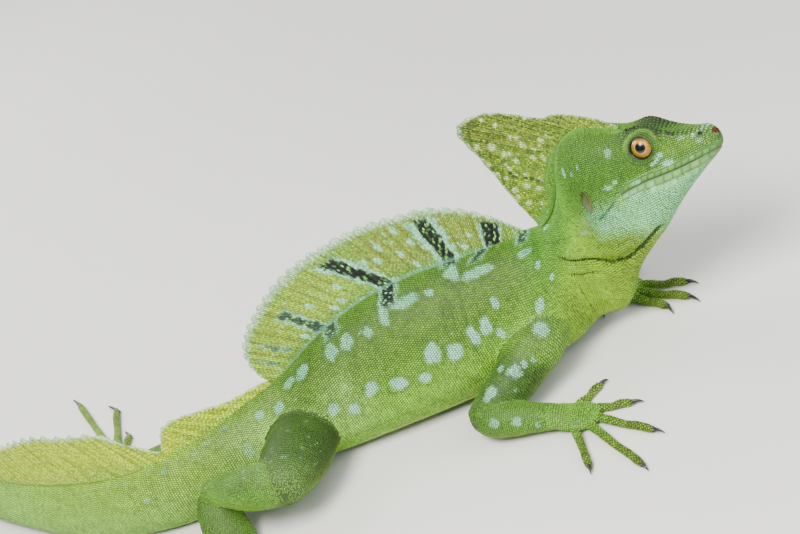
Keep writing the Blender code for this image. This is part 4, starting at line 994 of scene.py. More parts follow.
def merge(name, meshes):
    """One closed mesh from overlapping closed ones, by a Boolean union."""
    group = bpy.data.collections.new(name + "_parts")
    bpy.context.scene.collection.children.link(group)
    objects = [bpy.data.objects.new(name + "_part", m) for m in meshes]
    for obj in objects[1:]:
        group.objects.link(obj)
    bpy.context.scene.collection.objects.link(objects[0])
    mod = objects[0].modifiers.new("merge", "BOOLEAN")
    mod.operation = "UNION"
    mod.operand_type = "COLLECTION"
    mod.collection = group
    mod.solver = "MANIFOLD"
    deps = bpy.context.evaluated_depsgraph_get()
    made = bpy.data.meshes.new_from_object(objects[0].evaluated_get(deps))
    made.name = name
    for obj in objects:
        bpy.data.objects.remove(obj, do_unlink=True)
    bpy.data.collections.remove(group)
    return made


def search_tree(points):
    """Tree that finds the nearest of the points."""
    tree = KDTree(len(points))
    for k, q in enumerate(points):
        tree.insert(q, k)
    tree.balance()
    return tree


def soften(mesh, sources, reach, rounds):
    """Round the creases where merged meshes meet: each vertex within reach of the
    union's new vertices moves toward the mean of its neighbours, round after round."""
    p = read_points(mesh)
    tree = search_tree(np.concatenate([read_points(m) for m in sources]))
    fresh = np.array([tree.find(q)[2] for q in p]) > 2e-7
    if not fresh.any():
        return
    tree = search_tree(p[fresh])
    away = np.array([tree.find(q)[2] for q in p]) / MM
    weight = np.clip(1.15 - away / reach, 0, 1)[:, None]
    edges = np.empty(len(mesh.edges) * 2, np.int32)
    mesh.edges.foreach_get("vertices", edges)
    a, b = edges.reshape(-1, 2).T
    count = np.bincount(a, minlength=len(p)) + np.bincount(b, minlength=len(p))
    for _ in range(rounds):
        total = np.stack([np.bincount(a, p[b, k], len(p)) + np.bincount(b, p[a, k], len(p))
                          for k in range(3)], -1)
        p += 0.6 * weight * (total / np.maximum(count, 1)[:, None] - p)
    mesh.vertices.foreach_set("co", p.astype(np.float32).ravel())
    mesh.update()


# Skin

def wrinkles(p, s, v):
    """Height of the skin's fine shapes over the smooth body, millimetres: the mouth
    line with its lips, ear dish, nostril, throat and cheek creases, neck folds."""
    x, a, z = head_parts(p)
    live = rise(s, 165, 3)
    mouth = over_mouth(x, z)
    lips = -0.4 * bell(mouth, 0, 0.22) + 0.15 * bell(mouth, 1.2, 0.9) + 0.16 * bell(mouth, -1.6, 1.2)
    out = rise(x, 14.5, 0.8) * live * lips
    r = ear_share(x, z)
    out = out + live * rise(a, 7, 0.8) * (0.4 * bell(r, 1.12, 0.14) - 1.2 * (1 - rise(r, 0.84, 0.09)))
    r = nostril_share(x, z)
    out = out + live * rise(a, 2.6, 0.4) * (0.28 * bell(r, 1.4, 0.28) - 1.1 * (1 - rise(r, 0.8, 0.15)))
    out = out - rise(s, 143, 3) * drawn(CREASES, x, z, 1.2)
    t = turn_share(v)
    for s0, lean, deep in NECK_FOLDS:
        out = out - deep * bell(s, s0 + lean * (t - 0.5), 0.9) * band(t, 0.6, 0.88, 0.05)
    out = out - 0.2 * drawn(FINE_LINES, t, s, 0.02)
    return out - 0.4 * bell(t, 0.63 + 0.012 * np.sin(s / 9), 0.012) * band(s, 24, 96, 6)


# Creases of throat and cheek in the head frame, with depth and half width, which also
# set the painted shade in them; folds of the neck as distance, lean and depth
CREASES = (
    (((-24.2, -22.4), (-15.9, -27.8), (-5.6, -32.8), (3.4, -32.4), (9.3, -29.7), (20, -24)), 1, .5),
    (((-28.5, -25.7), (-22.4, -30.8), (-16.9, -33.8), (-12, -35.4)), .6, .5),
    (((2.8, -13.9), (7, -12), (11.8, -8.8)), .6, .5),
    (((-6, -24), (2, -26.4), (10, -24.6)), .35, .5),
)
NECK_FOLDS = ((138, -10, .25), (146, -14, .45))


def eye_reach(p, s):
    """Sideways shift that turns the face round the eye into lids: a sphere a little
    larger than the eyeball, joined with a soft maximum, finely folded, open in the
    middle."""
    h = to_head(p)
    x, y, z = h[..., 0], h[..., 1], h[..., 2]
    a = np.abs(y)
    r = eye_away(x, z, LID_TALL)
    dome = EYE_PLACE[1] + np.sqrt(np.maximum(LID_RADIUS ** 2 - r * r, 0))
    dome = dome - 0.2 * np.cos((r - 5.2) * 2 * np.pi / LID_FOLDS) * (1 - rise(z, 7, 1.5))
    soft = 0.5 * (a + dome + np.sqrt((a - dome) ** 2 + 0.25))
    open_at = 1 - rise(r * np.where(z > EYE_PLACE[2], LID_DROOP, 1), LID_OPENING + 0.25, 0.12)
    target = soft + (EYE_PLACE[1] + 1.6 - soft) * open_at
    live = (1 - rise(r, LID_RADIUS - 0.2, 0.2)) * rise(a, 6.2, 0.35) * (s > 180)
    shift = (target - a) * live * np.sign(y)
    return shift[..., None] * HEAD_AXES[1]


LID_RADIUS = 5.9          # dome of the lids over the eyeball
LID_OPENING = 4.3         # opening between the lids
LID_DROOP = 1.1           # the upper lid hangs this much lower
LID_FOLDS = 1.05          # step of the lids' folds
LID_TALL = 1.04           # the lids' height counts this much more than their length


# Spans of the body's rings: first and last distance, step
RING_SPANS = ((-480, -150, 3.2), (-150, -20, 2.4), (-20, 76, 1.5), (76, 106, 0.75), (106, 130, 1.5),
              (130, 176, 0.8), (176, 229.4, 0.42))
SNOUT_RINGS = (229.6, 229.9, 230.1)


def body_grid():
    """Skin of head, trunk and tail as rings of points, with their s and v: the points
    stand closer along the mouth and round the eye."""
    s = np.concatenate([np.arange(*span) for span in RING_SPANS] + [SNOUT_RINGS])
    fine = np.linspace(0, np.pi, 500)
    rows = []
    for sign in (1, -1):
        p = body_at(s[:, None], np.broadcast_to(fine * sign, (len(s), len(fine))))
        x, _, z = head_parts(p)
        face = rise(s, 188, 2)[:, None]
        close = 1 + face * 4 * bell(over_mouth(x, z), 0, 1)
        close = close + face * 1.2 * bell(eye_away(x, z), 5, 2)
        run = running(steps(p, 1) * 0.5 * (close[:, 1:] + close[:, :-1]))
        share = np.linspace(0, 1, AROUND // 2 + 1)
        rows.append(np.stack([np.interp(share * r[-1], r, fine) for r in run]) * sign)
    return s, np.concatenate([rows[0][:, :-1], rows[1][:, :0:-1]], 1)


AROUND = 128              # points of a ring
SKIN_OVER_FLOOR = 0.12


def skin_body():
    """Mesh of head, trunk and tail: the body's surface drawn in by the skin's depth,
    with lids, then the fine shapes along its own direction."""
    s, v = body_grid()
    p = body_at(s[:, None], v, -SKIN_DEPTH)
    p = p + eye_reach(p, s[:, None])
    along = np.gradient(p, axis=0)
    around = np.roll(p, -1, 1) - np.roll(p, 1, 1)
    out = unit(np.cross(along, around))
    p = p + out * wrinkles(p, s[:, None], v)[..., None]
    p[..., 2] = np.maximum(p[..., 2], SKIN_OVER_FLOOR)
    return tube_mesh("body", p)


def lid_ring(side):
    """Rolled edge of the lids: a ring of small oval section that follows the eyeball,
    drawn to a low corner in front and behind."""
    u, w = circle(72)[:, None], circle(14)[None, :]
    corner = np.abs(np.cos(u)) ** 7
    wide = LID_OPENING + 0.3 + 0.4 * corner
    tall = (LID_OPENING + 0.02) / np.where(np.sin(u) > 0, LID_DROOP, 1)
    r = 0.25 + 0.05 * np.sin(u) - 0.06 * corner
    x = EYE_PLACE[0] + (wide + 1.1 * r * np.cos(w)) * np.cos(u)
    z = EYE_PLACE[2] + (tall + 1.1 * r * np.cos(w)) * np.sin(u) - 0.3 * corner * np.sign(np.cos(u))
    flat = eye_away(x, z)
    y = EYE_PLACE[1] + np.sqrt(np.maximum(EYE_RADIUS ** 2 - np.minimum(flat, 4.8) ** 2, 0)) + 0.22
    p = from_head(np.stack([x, side * (y + r * np.sin(w)), z], -1))
    count, points = p.shape[:2]
    i, j = np.meshgrid(np.arange(count), np.arange(points), indexing="ij")
    i2, j2 = (i + 1) % count, (j + 1) % points
    quads = np.stack([i * points + j, i * points + j2, i2 * points + j2, i2 * points + j], -1)
    mesh = new_mesh("lids", p.reshape(-1, 3), quads.reshape(-1, 4))
    outward(mesh)
    return mesh


def limb_mesh(name, rows, step, points):
    """Closed tube of one limb part, rings at equal steps; the chest's skin ends over
    the upper arm in a low fold."""
    end = chain(rows)[1][-1]
    t, v = tube_net(rows, max(int(end / step), 8), points)
    fold = 0
    if "upper_arm" in name:
        fold = SLEEVE_FOLD * (1 - rise(t / end - SLEEVE - 0.06 * np.cos(v), 0, 0.03))
    p = tube_at(rows, t, v, fold - SKIN_DEPTH)
    p[..., 2] = np.maximum(p[..., 2], SKIN_OVER_FLOOR)
    return tube_mesh(name, p)


def digits_of(hand):
    """Rows of the digits of one hand or foot, with the claw's rows."""
    radius = DIGIT_RADIUS[hand]
    for root, tip, claw in HANDS[hand][1]:
        yield taper(DIGIT, root, tip, radius, radius, 1, 1), taper(CLAW, tip, claw, radius, 1, 0.8, 1.1)


LEGS = (
    ("right_hand", "right_upper_arm", "right_forearm"),
    ("left_hand", "left_upper_arm", "left_forearm"),
    ("right_foot", "right_thigh", "right_shin"),
    ("left_foot", "left_thigh", "left_shin"),
)


def skin_mesh():
    """The whole skin: hands, limbs and body merged in stages, each crease softened
    over a distance that suits it."""
    parts = [skin_body()]
    for hand, upper, lower in LEGS:
        pieces = [limb_mesh("palm", HANDS[hand][0], 0.8, 32)]
        pieces += [limb_mesh("digit", rows, 0.8, 14) for rows, _ in digits_of(hand)]
        palm = merge("hand", pieces)
        soften(palm, pieces, 1.6, 6)
        pieces = [palm, limb_mesh(upper, LIMBS[upper], 1.2, 48), limb_mesh(lower, LIMBS[lower], 1.1, 40)]
        whole = merge("leg", pieces)
        soften(whole, pieces, 1.5, 6)
        parts.append(whole)
    body = merge("skin", parts)
    soften(body, parts, 6, 26)
    return merge("skin", [body, lid_ring(1), lid_ring(-1)])


# painted shade: the membrane between the scales is painted darker
SAIL_SHADE = 0.6          # the membrane is this much darker than its scales


def new_sail(name, nodes, along, up):
    """One sail: a tube of the left face from root to edge and the right face back to
    the root, replacing its nodes."""
    start, end = SAILS[name][1:3]
    a, w = lattice(np.linspace(start, end, along), np.linspace(0, 1, up) ** 0.9)
    fold = lambda left, right: np.concatenate([left, right[:, ::-1]], 1)
    grid = fold(*(sail_at(name, a, w, side * np.ones(a.shape)) for side in (1, -1)))
    mesh = tube_mesh(name + "_sail", grid)
    c = sail_colour(name, fold(a, a), fold(w, w), grid).reshape(-1, 3)
    set_colour(mesh, np.concatenate([c, c[:1], c[-1:]]) * SAIL_SHADE)
    finish_piece(name + "_sail", mesh, crest_membrane, "crest_olive", *nodes)


# Scales

def row_places(start, end, spacing):
    """Places from start to end whose steps follow the spacing function."""
    fine = np.linspace(start, end, 2000)
    run = running(np.diff(fine) / spacing(0.5 * (fine[1:] + fine[:-1])))
    count = int(run[-1])
    return np.interp((np.arange(count) + 0.5) / count * run[-1], run, fine)


def lay_rows(surface, rows, low, high, wide, closed):
    """Sites in staggered rows on a surface: along each row they stand at equal steps of
    arc length over wanted width.  Row number, both parameters and width of each."""
    fine = np.linspace(low, high, 420)
    t, v = lattice(np.asarray(rows, float), fine)
    p = surface(t, v)
    width = wide(t, v, p)
    run = running(steps(p, 1) / (0.5 * (width[:, 1:] + width[:, :-1])))
    number, at, across, size = [], [], [], []
    for k, total in enumerate(run[:, -1]):
        count = max(int(round(total)), 3)
        shift = 0.5 * (k % 2) if closed else 0.25 + 0.5 * (k % 2)
        place = (np.arange(count) + shift) / count * total
        across.append(np.interp(place, run[k], fine))
        size.append(np.interp(place, run[k], width[k]) * total / count)
        number.append(np.full(count, k))
        at.append(np.full(count, rows[k], float))
    return tuple(np.concatenate(q) for q in (number, at, across, size))


def frames(surface, t, v, dt, dv):
    """Points, outward normals and directions along t of a surface."""
    p = surface(t, v)
    along = unit(surface(t + dt, v) - surface(t - dt, v))
    around = surface(t, v + dv) - surface(t, v - dv)
    return p, unit(np.cross(along, around)), along


def places_found(found):
    """Points, in table units, and normals of a list of finds on the skin."""
    at = np.array([tuple(f[0]) if f[0] else (0, 0, 0) for f in found])
    return table_units(at), np.array([tuple(f[1]) if f[1] else (0, 0, 1) for f in found])


def joined(batches, key):
    """One array of the batches' arrays of that name."""
    return np.concatenate([getattr(b, key) for b in batches])


class Sites:
    """Sites of scales: arrays with one row for each scale."""

    def __init__(self, p, out, back, length, width, lift, keel, colour, place):
        full = lambda q: np.broadcast_to(np.asarray(q, float), (len(p),)).copy()
        self.p, self.out, self.back = p, out, back
        self.length, self.width = full(length), full(width)
        self.lift, self.keel = full(lift), full(keel)
        self.stray = np.zeros(len(p), bool)
        self.colour, self.place = colour, place

    def keep(self, mask):
        """Only the sites where the mask is true."""
        for key, value in self.__dict__.items():
            setattr(self, key, value[mask])
        return self

    def settle(self, tree, reach):
        """Move the sites onto the skin and drop those further from it than reach."""
        found = [tree.find_nearest(q) for q in placed(self.p).tolist()]
        near = np.array([f[3] is not None and f[3] < reach * MM for f in found])
        at, out = places_found(found)
        self.stray = np.linalg.norm(at - self.p, axis=1) > STRAY
        self.p = at
        self.out = unit(out + 0.4 * self.out)
        return self.keep(near)


# Outline of a scale: length, width and height as shares of length, width and lift,
# then the top of the ridge
OUTLINE = np.array([(-.56, 0, -.5), (-.24, .47, -.4), (.27, .43, .2), (.62, 0, 1),
                    (.27, -.43, .2), (-.24, -.47, -.4), (.08, 0, 0)])
OUTLINE_FACES = np.array([(0, 5, 6), (5, 4, 6), (4, 3, 6), (3, 2, 6), (2, 1, 6), (1, 0, 6),
                          (0, 1, 5), (1, 2, 5), (2, 4, 5), (2, 3, 4)])
# colour of each outline point as a share of the scale's colour: painted shade round the edge and at the
# root, a painted highlight on the ridge
OUTLINE_SHADE = np.array([0.24, 0.32, 0.56, 0.95, 0.56, 0.32, 1.62])
SCALE_OVER_FLOOR = 0.03
PATCH = 0.0027            # size of a scale's own patch on the map
BODY_REACH = 1.9          # scales further from the skin than this are dropped
LIMB_REACH = 2.8
TOE_REACH = 0.9
STRAY = 0.4               # a scale that moved further onto the skin counts as a stray
CROWDED = 0.64            # least distance of a stray from another scale, in widths
# painted shade: the skin between the scales is painted darker
SKIN_SHADE = 0.28         # the skin is this much darker than its scales


def new_scales(name, slot, batches):
    """One piece of scales: six points round each and one on its ridge, its colour
    darkened round the edge as painted shade and lightened on the ridge as a painted
    highlight, its patch of the map at the root's place."""
    p, out, back, length, width, lift, keel, colour, place = (
        joined(batches, key)
        for key in ("p", "out", "back", "length", "width", "lift", "keel", "colour", "place"))
    back = unit(back - np.sum(back * out, -1, keepdims=True) * out)
    side = np.cross(out, back)
    high = OUTLINE[None, :, 2] * lift[:, None]
    high[:, 6] = keel
    verts = (p[:, None] + (OUTLINE[None, :, 0] * length[:, None])[..., None] * back[:, None]
             + (OUTLINE[None, :, 1] * width[:, None])[..., None] * side[:, None]
             + high[..., None] * out[:, None])
    verts[..., 2] = np.maximum(verts[..., 2], SCALE_OVER_FLOOR)
    faces = OUTLINE_FACES[None] + 7 * np.arange(len(p))[:, None, None]
    mesh = new_mesh(name, verts.reshape(-1, 3), faces.reshape(-1, 3))
    rng = np.random.default_rng(len(p))
    # random tone times the painted shade and painted highlight of the outline
    tone_and_shade = np.clip(rng.normal(1, 0.15, (len(p), 1)), 0.6, 1.45) * OUTLINE_SHADE[None]
    set_colour(mesh, (colour[:, None] * tone_and_shade[..., None]).reshape(-1, 3))
    spread = place[:, None] + PATCH * OUTLINE[None, :, :2] * np.array([1, 1.05])
    set_bake_map(mesh, np.clip(spread, 0.0005, 0.9995).reshape(-1, 2))
    finish_piece(name, mesh, scale_keratin, slot)


def thin(batches):
    """Where the scales of two parts run together, at a crease, drop the strays that
    stand on another scale."""
    p, stray, wide = (joined(batches, key) for key in ("p", "stray", "width"))
    tree = search_tree(p)
    gone = np.zeros(len(p), bool)
    for k in np.flatnonzero(stray):
        near = [j for _, j, _ in tree.find_range(p[k], CROWDED * wide[k]) if j != k and not gone[j]]
        gone[k] = any(not stray[j] or j < k for j in near)
    first = 0
    for b in batches:
        count = len(b.p)
        b.keep(~gone[first:first + count])
        first += count


def body_spacing(s):
    """Distance between the rows of scales along the animal, millimetres."""
    return np.interp(s, (-480, -300, -140, -60, 0, 20, 125, 150, 165, 175, 232),
                     (1.25, 1.3, 1.12, 0.92, 0.88, 0.93, 0.95, 0.92, 0.84, 0.74, 0.72))


def lip_height(x):
    """Height of the lower lip plates along the head."""
    return np.interp(x, (12, 20, 30, 42, 50, 53), (1.7, 2.3, 2.9, 2.6, 2, 1.4))


def head_zones(p, s):
    """Shares of the large plates of crown and snout, and the places kept free for
    mouth, ear, nostril and eye."""
    x, a, z = head_parts(p)
    mouth = over_mouth(x, z)
    on_head = s > 170
    large = on_head & (x > 20) & (z > 13.2 - 0.19 * (x - 2))
    free = on_head & (x > 14.5) & (mouth > -0.3 - lip_height(x)) & (mouth < 2.3)
    free |= (s > 150) & (a > 7) & (ear_share(x, z) < 0.95)
    free |= (s > 215) & (a > 2.6) & (np.hypot(x - 48, (z - 4.4) * 1.2) < 1.2)
    free |= (s > 180) & (a > 6.2) & (eye_away(x, z) < LID_OPENING + 2.4)
    return large, free


def body_width(scale):
    """Width function of the body's scales for a flank width of the given size."""
    def wide(s, v, p):
        t = turn_share(v)
        w = scale * (1 + 0.4 * rise(t, 0.78, 0.05) + 0.1 * (1 - rise(t, 0.12, 0.05)))
        w = w + (np.interp(s, (-300, -60), (1.2, 0.9)) - w) * (1 - rise(s, -10, 14))
        head = rise(s, 160, 6)
        w = w * (1 - head) + (0.78 + 0.3 * rise(t, 0.66, 0.05)) * head
        return np.where(head_zones(p, s)[0], 1.15, w)
    return wide


def body_sites(start, end, scale, lift, tree):
    """Scales of one length of the body, settled on the skin."""
    rows = row_places(start, end, body_spacing)
    number, s, v, width = lay_rows(body_at, rows, -np.pi, np.pi, body_width(scale), True)
    rng = np.random.default_rng(int(start) + 1000)
    loose = np.interp(s, (-480, 0, 120, 170, 232), (0.03, 0.05, 0.08, 0.14, 0.16))
    step = body_spacing(s)
    s = s + rng.normal(0, 1, s.shape) * loose * step
    p, out, along = frames(body_at, s, v, 0.3, 0.01)
    large, free = head_zones(p, s)
    length = step * np.where(large, 1.75, 1.12)
    keel = np.interp(s, (-480, -60, 10, 160, 232), (0.36, 0.36, 0.33, 0.33, 0.22)) * np.where(large, 0.7, 1)
    rear = np.interp(s, (-480, -60, 10, 150, 170, 232), (0.3, 0.28, lift, lift, 0.1, 0.06))
    colour = body_colour(s, v, p)
    place = np.stack([(s - start) / (end - start), (v + np.pi) / (2 * np.pi)], -1)
    sites = Sites(p, out, -along, length, width * 1.04, rear, keel, colour, place)
    sites.keep(~free & (~large | (number % 2 == 0)))
    return sites.settle(tree, BODY_REACH)


def rows_size(rows, t):
    """Mean radius of a tube at distance t along it."""
    rows, run = chain(rows)
    return np.interp(t, run, 0.5 * (rows[:, 3] + rows[:, 4]))


def limb_sites(cell, tree, rows, kind, spacing, width, lift):
    """Scales of one limb part; its map place is one of nine cells."""
    end = chain(rows)[1][-1]
    surface = functools.partial(tube_at, rows)
    steep = lambda t: np.abs(rows_size(rows, t + 0.02) - rows_size(rows, t - 0.02)) / 0.04
    places = row_places(0.01 * end, 0.995 * end, lambda t: spacing / np.hypot(1, steep(t)))
    wide = lambda t, v, p: np.full(t.shape, float(width))
    _, t, v, size = lay_rows(surface, places, 0, 2 * np.pi, wide, True)
    rng = np.random.default_rng(cell + len(t))
    loose = 0.02 if kind == "digit" else 0.1 + 0.1 * rise(t, end - 5, 1)
    t = t + rng.normal(0, 1, t.shape) * loose * spacing
    v = v + rng.normal(0, 1, t.shape) * loose * size / np.maximum(rows_size(rows, t), 0.5)
    p, out, along = frames(surface, t, v, 0.15, 0.02)
    colour = limb_colour(kind, t / end, v, p)
    root = np.array([cell % 3, cell // 3], float)
    place = (root + 0.03 + 0.94 * np.stack([t / end, v / (2 * np.pi)], -1)) / 3
    sites = Sites(p, out, along, spacing * 1.12, size, lift, 0.24 * min(width, 1), colour, place)
    return sites.settle(tree, TOE_REACH if kind in ("digit", "palm") else LIMB_REACH)


def leg_sites(hand, upper, lower, tree, lift):
    """Scales of one whole limb, part by part down to the toes."""
    top, low = ("thigh", "shin") if "thigh" in upper else ("upper_arm", "forearm")
    parts = [(LIMBS[upper], top, 0.86, 0.86, lift), (LIMBS[lower], low, 0.8, 0.8, lift),
             (HANDS[hand][0], "palm", 0.78, 0.78, lift * 0.8)]
    parts += [(rows, "digit", 0.86, 1.35, lift * 0.8) for rows, _ in digits_of(hand)]
    return [limb_sites(cell, tree, *part) for cell, part in enumerate(parts)]


def sail_sites(name, spacing, cell, lift):
    """Scales of both faces of a sail, in columns along its rays."""
    start, end = SAILS[name][1:3]
    batches = []
    for side in (1, -1):
        surface = lambda a, w: sail_at(name, a, w, np.full(a.shape, float(side)))
        a0 = np.linspace(start, end, 400)
        run = running(steps(surface(a0, np.full(a0.shape, 0.6))))
        count = int(run[-1] / spacing)
        columns = np.interp((np.arange(count) + 0.5) / count * run[-1], run, a0)
        wide = lambda a, w, p: np.full(a.shape, spacing * (1.1 if name == "head" else 2))
        _, a, w, size = lay_rows(surface, columns, 0.06, 0.97, wide, False)
        rng = np.random.default_rng(len(a))
        w = np.clip(w + rng.normal(0, 0.012, len(w)), 0.05, 0.97)
        dt = abs(end - start) * 2e-4
        p = surface(a, w)
        along = unit(surface(a, w + 0.01) - surface(a, w - 0.01))
        out = unit(np.cross(along, surface(a + dt, w) - surface(a - dt, w)))
        left = sail_frame(name, a)[2]
        out = out * np.sign(np.sum(out * left, -1, keepdims=True)) * side
        root = np.array([cell, 0 if side > 0 else 1], float)
        place = (root + 0.03 + 0.94 * np.stack([(a - start) / (end - start), w], -1)) / np.array([3, 2])
        keel = 0.14 + 0.1 * np.exp(-(ray_phase(name, a, w) / 0.35) ** 2)
        batches.append(Sites(p - out * 0.02, out, along, size * 1.1, spacing, lift * 0.8, keel,
                             sail_colour(name, a, w, p), place))
    batches.append(fringe_sites(name, cell))
    return batches


# Pointed scales of the sails' edges: step and length
FRINGE = {"back": (0.6, 0.85), "tail": (0.7, 1.1), "head": (0.75, 0.9)}


def fringe_sites(name, cell):
    """Pointed scales that stand past a sail's edge, along the rays, of uneven length."""
    start, end = SAILS[name][1:3]
    fine = np.linspace(start, end, 1200)
    run = running(steps(sail_at(name, fine, np.full(fine.shape, 0.95), np.zeros(fine.shape))))
    step, long = FRINGE[name]
    count = int(run[-1] / step)
    rng = np.random.default_rng(count)
    a = np.interp((np.arange(count) + 0.5) * step, run, fine)
    w = 0.945 + 0.05 * rng.random(count)
    flat = np.zeros(count)
    p = sail_at(name, a, w, flat)
    left = sail_frame(name, a)[2]
    along = unit(sail_at(name, a - ray_slant(name, a, flat + 0.02), w + 0.02, flat) - p)
    along = unit(along + rng.normal(0, 0.12, (count, 3)))
    out = left * np.where(np.arange(count) % 2 == 0, 1, -1)[:, None]
    length = long * (0.55 + 0.5 * rng.random(count) + 0.35 * (1 - ray_phase(name, a, w)))
    colour = sail_colour(name, a, np.full(count, 0.975), p) * rng.uniform(0.85, 1.2, (count, 1))
    place = np.stack([cell + 0.03 + 0.94 * (a - start) / (end - start), flat + 0.985], -1)
    return Sites(p + out * 0.1, out, along, length, 0.85, 0.1, 0.22, np.clip(colour, 0, 1),
                 place / np.array([3, 2]))


def lid_sites(side, tree):
    """Granules in six rings round the opening of the lids, cast on the skin from the
    side."""
    counts = [int(2 * np.pi * r / LID_STEP) for r in LID_RINGS]
    angle = np.concatenate([(np.arange(n) + 0.5 * (k % 2)) / n * 2 * np.pi for k, n in enumerate(counts)])
    radius = np.repeat(LID_RINGS, counts)
    x = EYE_PLACE[0] + radius * np.cos(angle)
    z = EYE_PLACE[2] + radius * np.sin(angle) / LID_TALL
    start = placed(from_head(np.stack([x, np.full(x.shape, side * 20), z], -1)))
    way = Vector((-side * HEAD_AXES[1]).tolist())
    found = [tree.ray_cast(Vector(q), way) for q in start.tolist()]
    p, out = places_found(found)
    back = np.cos(angle)[:, None] * HEAD_AXES[0] + np.sin(angle)[:, None] * HEAD_AXES[2]
    colour = body_colour(np.full(x.shape, 203), np.full(x.shape, side * 0.9), p)
    colour = mix(colour, PAINT["temple"] * 0.7, bell(radius, LID_RINGS[0], 0.3) * 0.6)
    place = np.stack([0.86 + 0.004 * (x - EYE_PLACE[0]), 0.5 + side * 0.2 + 0.004 * (z - 6)], -1)
    sites = Sites(p, out, back, 0.66, 0.6, 0.05, 0.17, colour, place)
    return sites.keep(np.array([f[0] is not None for f in found]))


LID_RINGS = (4.78, 5.28, 5.78, 6.3, 6.83, 7.35)
LID_STEP = 0.64           # distance between the granules of a ring

# Pieces of the body's coat: name, slot, first and last distance along the animal
COAT = (
    ("head", "body_green", 161, 229.5), ("neck", "throat_pale", 126, 161),
    ("chest", "body_green", 94, 126), ("trunk_front", "body_green", 54, 94),
    ("trunk_rear", "body_green", 6, 54), ("tail_base", "tail_green", -110, 6),
    ("tail_tip", "tail_green", -476, -110),
)


def make_coat(scale, lift):
    """All scales, one piece for each part of the animal, then the skin's colours."""
    skin = SHARED["skin"]
    points = read_points(skin)
    skin.calc_loop_triangles()
    corners = np.empty(len(skin.loop_triangles) * 3, np.int32)
    skin.loop_triangles.foreach_get("vertices", corners)
    tree = SHARED["tree"] = BVHTree.FromPolygons(points.tolist(), corners.reshape(-1, 3).tolist())
    coat = [(name, slot, [body_sites(start, end, scale, lift, tree)]) for name, slot, start, end in COAT]
    coat[0][2].extend(lid_sites(side, tree) for side in (1, -1))
    coat += [(name, "body_green", leg_sites(*leg, tree, lift))
             for name, leg in zip(("right_arm", "left_arm", "right_leg", "left_leg"), LEGS)]
    flesh = [b for _, _, batches in coat for b in batches]
    thin(flesh)
    sails = [b for cell, (name, spacing) in enumerate((("back", 0.8), ("tail", 0.85), ("head", 0.95)))
             for b in sail_sites(name, spacing, cell, lift)]
    for name, slot, batches in coat + [("sails", "crest_olive", sails)]:
        new_scales("scales_" + name, slot, batches)
    paint_skin(points, flesh)


def paint_skin(points, batches):
    """Skin colours: the nearest scale's colour made darker as painted shade between the
    scales, the lips' colours darkened likewise, with ear, nostril and mouth line painted
    in, nostril and mouth line dark as painted shade in their hollows."""
    tree = search_tree(placed(joined(batches, "p")))
    # painted shade between the scales
    c = joined(batches, "colour")[[tree.find(q)[1] for q in points]] * SKIN_SHADE
    p = table_units(points)
    x, a, z = head_parts(p)
    head = ((x > -8) & (z > -20) & (p[:, 0] > 100)).astype(float)
    mouth = np.interp(x, MOUTH_X, MOUTH_Z)
    front = rise(x, 14, 0.5) * head
    grain = rise(ripple(p, 1.3, 81), 0.5, 0.2) * rise(z, -8.5, 1) * 0.6
    ear = layers("ear", ("belly", grain), ("black", (1 - rise(x, -0.6 - 0.1 * (z + 6.6), 0.3)) * 0.75))
    eye = eye_away(x, z)
    set_colour(SHARED["skin"], layers(
        c, (PAINT["upper_lip"] * 0.45, band(z, mouth, mouth + 2.5, 0.15) * front),
        (PAINT["lower_lip"] * 0.35, band(z, mouth - lip_height(x) - 0.2, mouth, 0.15) * front),
        # painted shade in the mouth groove
        ("mouth", bell(z, mouth, 0.2) * rise(x, 13.5, 0.5) * head * 0.85),
        (ear, (1 - rise(ear_share(x, z), 0.86, 0.06)) * rise(a, 7, 0.5) * head),
        # painted shade in the nostril's hollow
        ("black", (1 - rise(nostril_share(x, z), 0.85, 0.12)) * rise(a, 2.6, 0.3) * head),
        ("rim", band(eye, 3, 4.55, 0.12) * rise(a, 6.5, 0.4) * head * 0.9)))


# Lip plates

def mouth_places(s, d, side):
    """Points of the face at distance s along the animal and height d over the mouth
    line, found on each section from fine samples of its turn."""
    v = np.linspace(0.2 * np.pi, 0.86 * np.pi, 400)
    x, _, z = head_parts(body_at(s[:, None], side * v[None, :]))
    over = over_mouth(x, z)
    at = np.array([np.interp(d[k], over[k, ::-1], v[::-1]) for k in range(len(s))])
    return body_at(s, side * at)


# Rows of lip and chin plates: heights of both edges over the mouth line, the lower
# one as a share of the lip's height where it is below one, first and last distance
# along the animal, number of plates
PLATE_ROWS = (
    (0.08, 2, 190.6, 228.6, 14), (2.08, 3.1, 193, 215, 17),
    (-0.08, -1, 189, 228, 11), (-1.02, -1.9, 200, 227, 10),
)
PLATE_HEIGHT = 0.14       # height of a plate's middle over its rim
PLATE_RIM = 0.02          # height of the rim over the skin
PLATE_DEPTH = 0.3         # depth of its floor under the skin
PLATE_GAP = 0.12
PLATE_PATCH = 0.0015      # half size of a plate's patch on the map


def plate_edge(d, x):
    """Height over the mouth line of a plate's edge: shares of the lip's height for
    the lower jaw's deeper edges."""
    return np.where(d <= -1, d * (lip_height(x) + 0.1), d)


def pillow_faces():
    """Corner numbers of a pillow's rim and its faces: a net of seven by five points, a
    second rim below, and one point that closes the floor."""
    rim = [i * 5 for i in range(7)] + [30 + j for j in range(1, 5)]
    rim = np.array(rim + [i * 5 + 4 for i in range(5, -1, -1)] + [3, 2, 1])
    top = [(i + j, i + j + 1, i + j + 6, i + j + 5) for i in range(0, 30, 5) for j in range(4)]
    q = np.arange(len(rim))
    r = (q + 1) % len(rim)
    walls = np.stack([rim[q], 35 + q, 35 + r, rim[r]], -1)
    floor = np.stack([35 + r, 35 + q, np.full(len(rim), 35 + len(rim))], -1)
    return rim, (np.array(top), walls, floor)


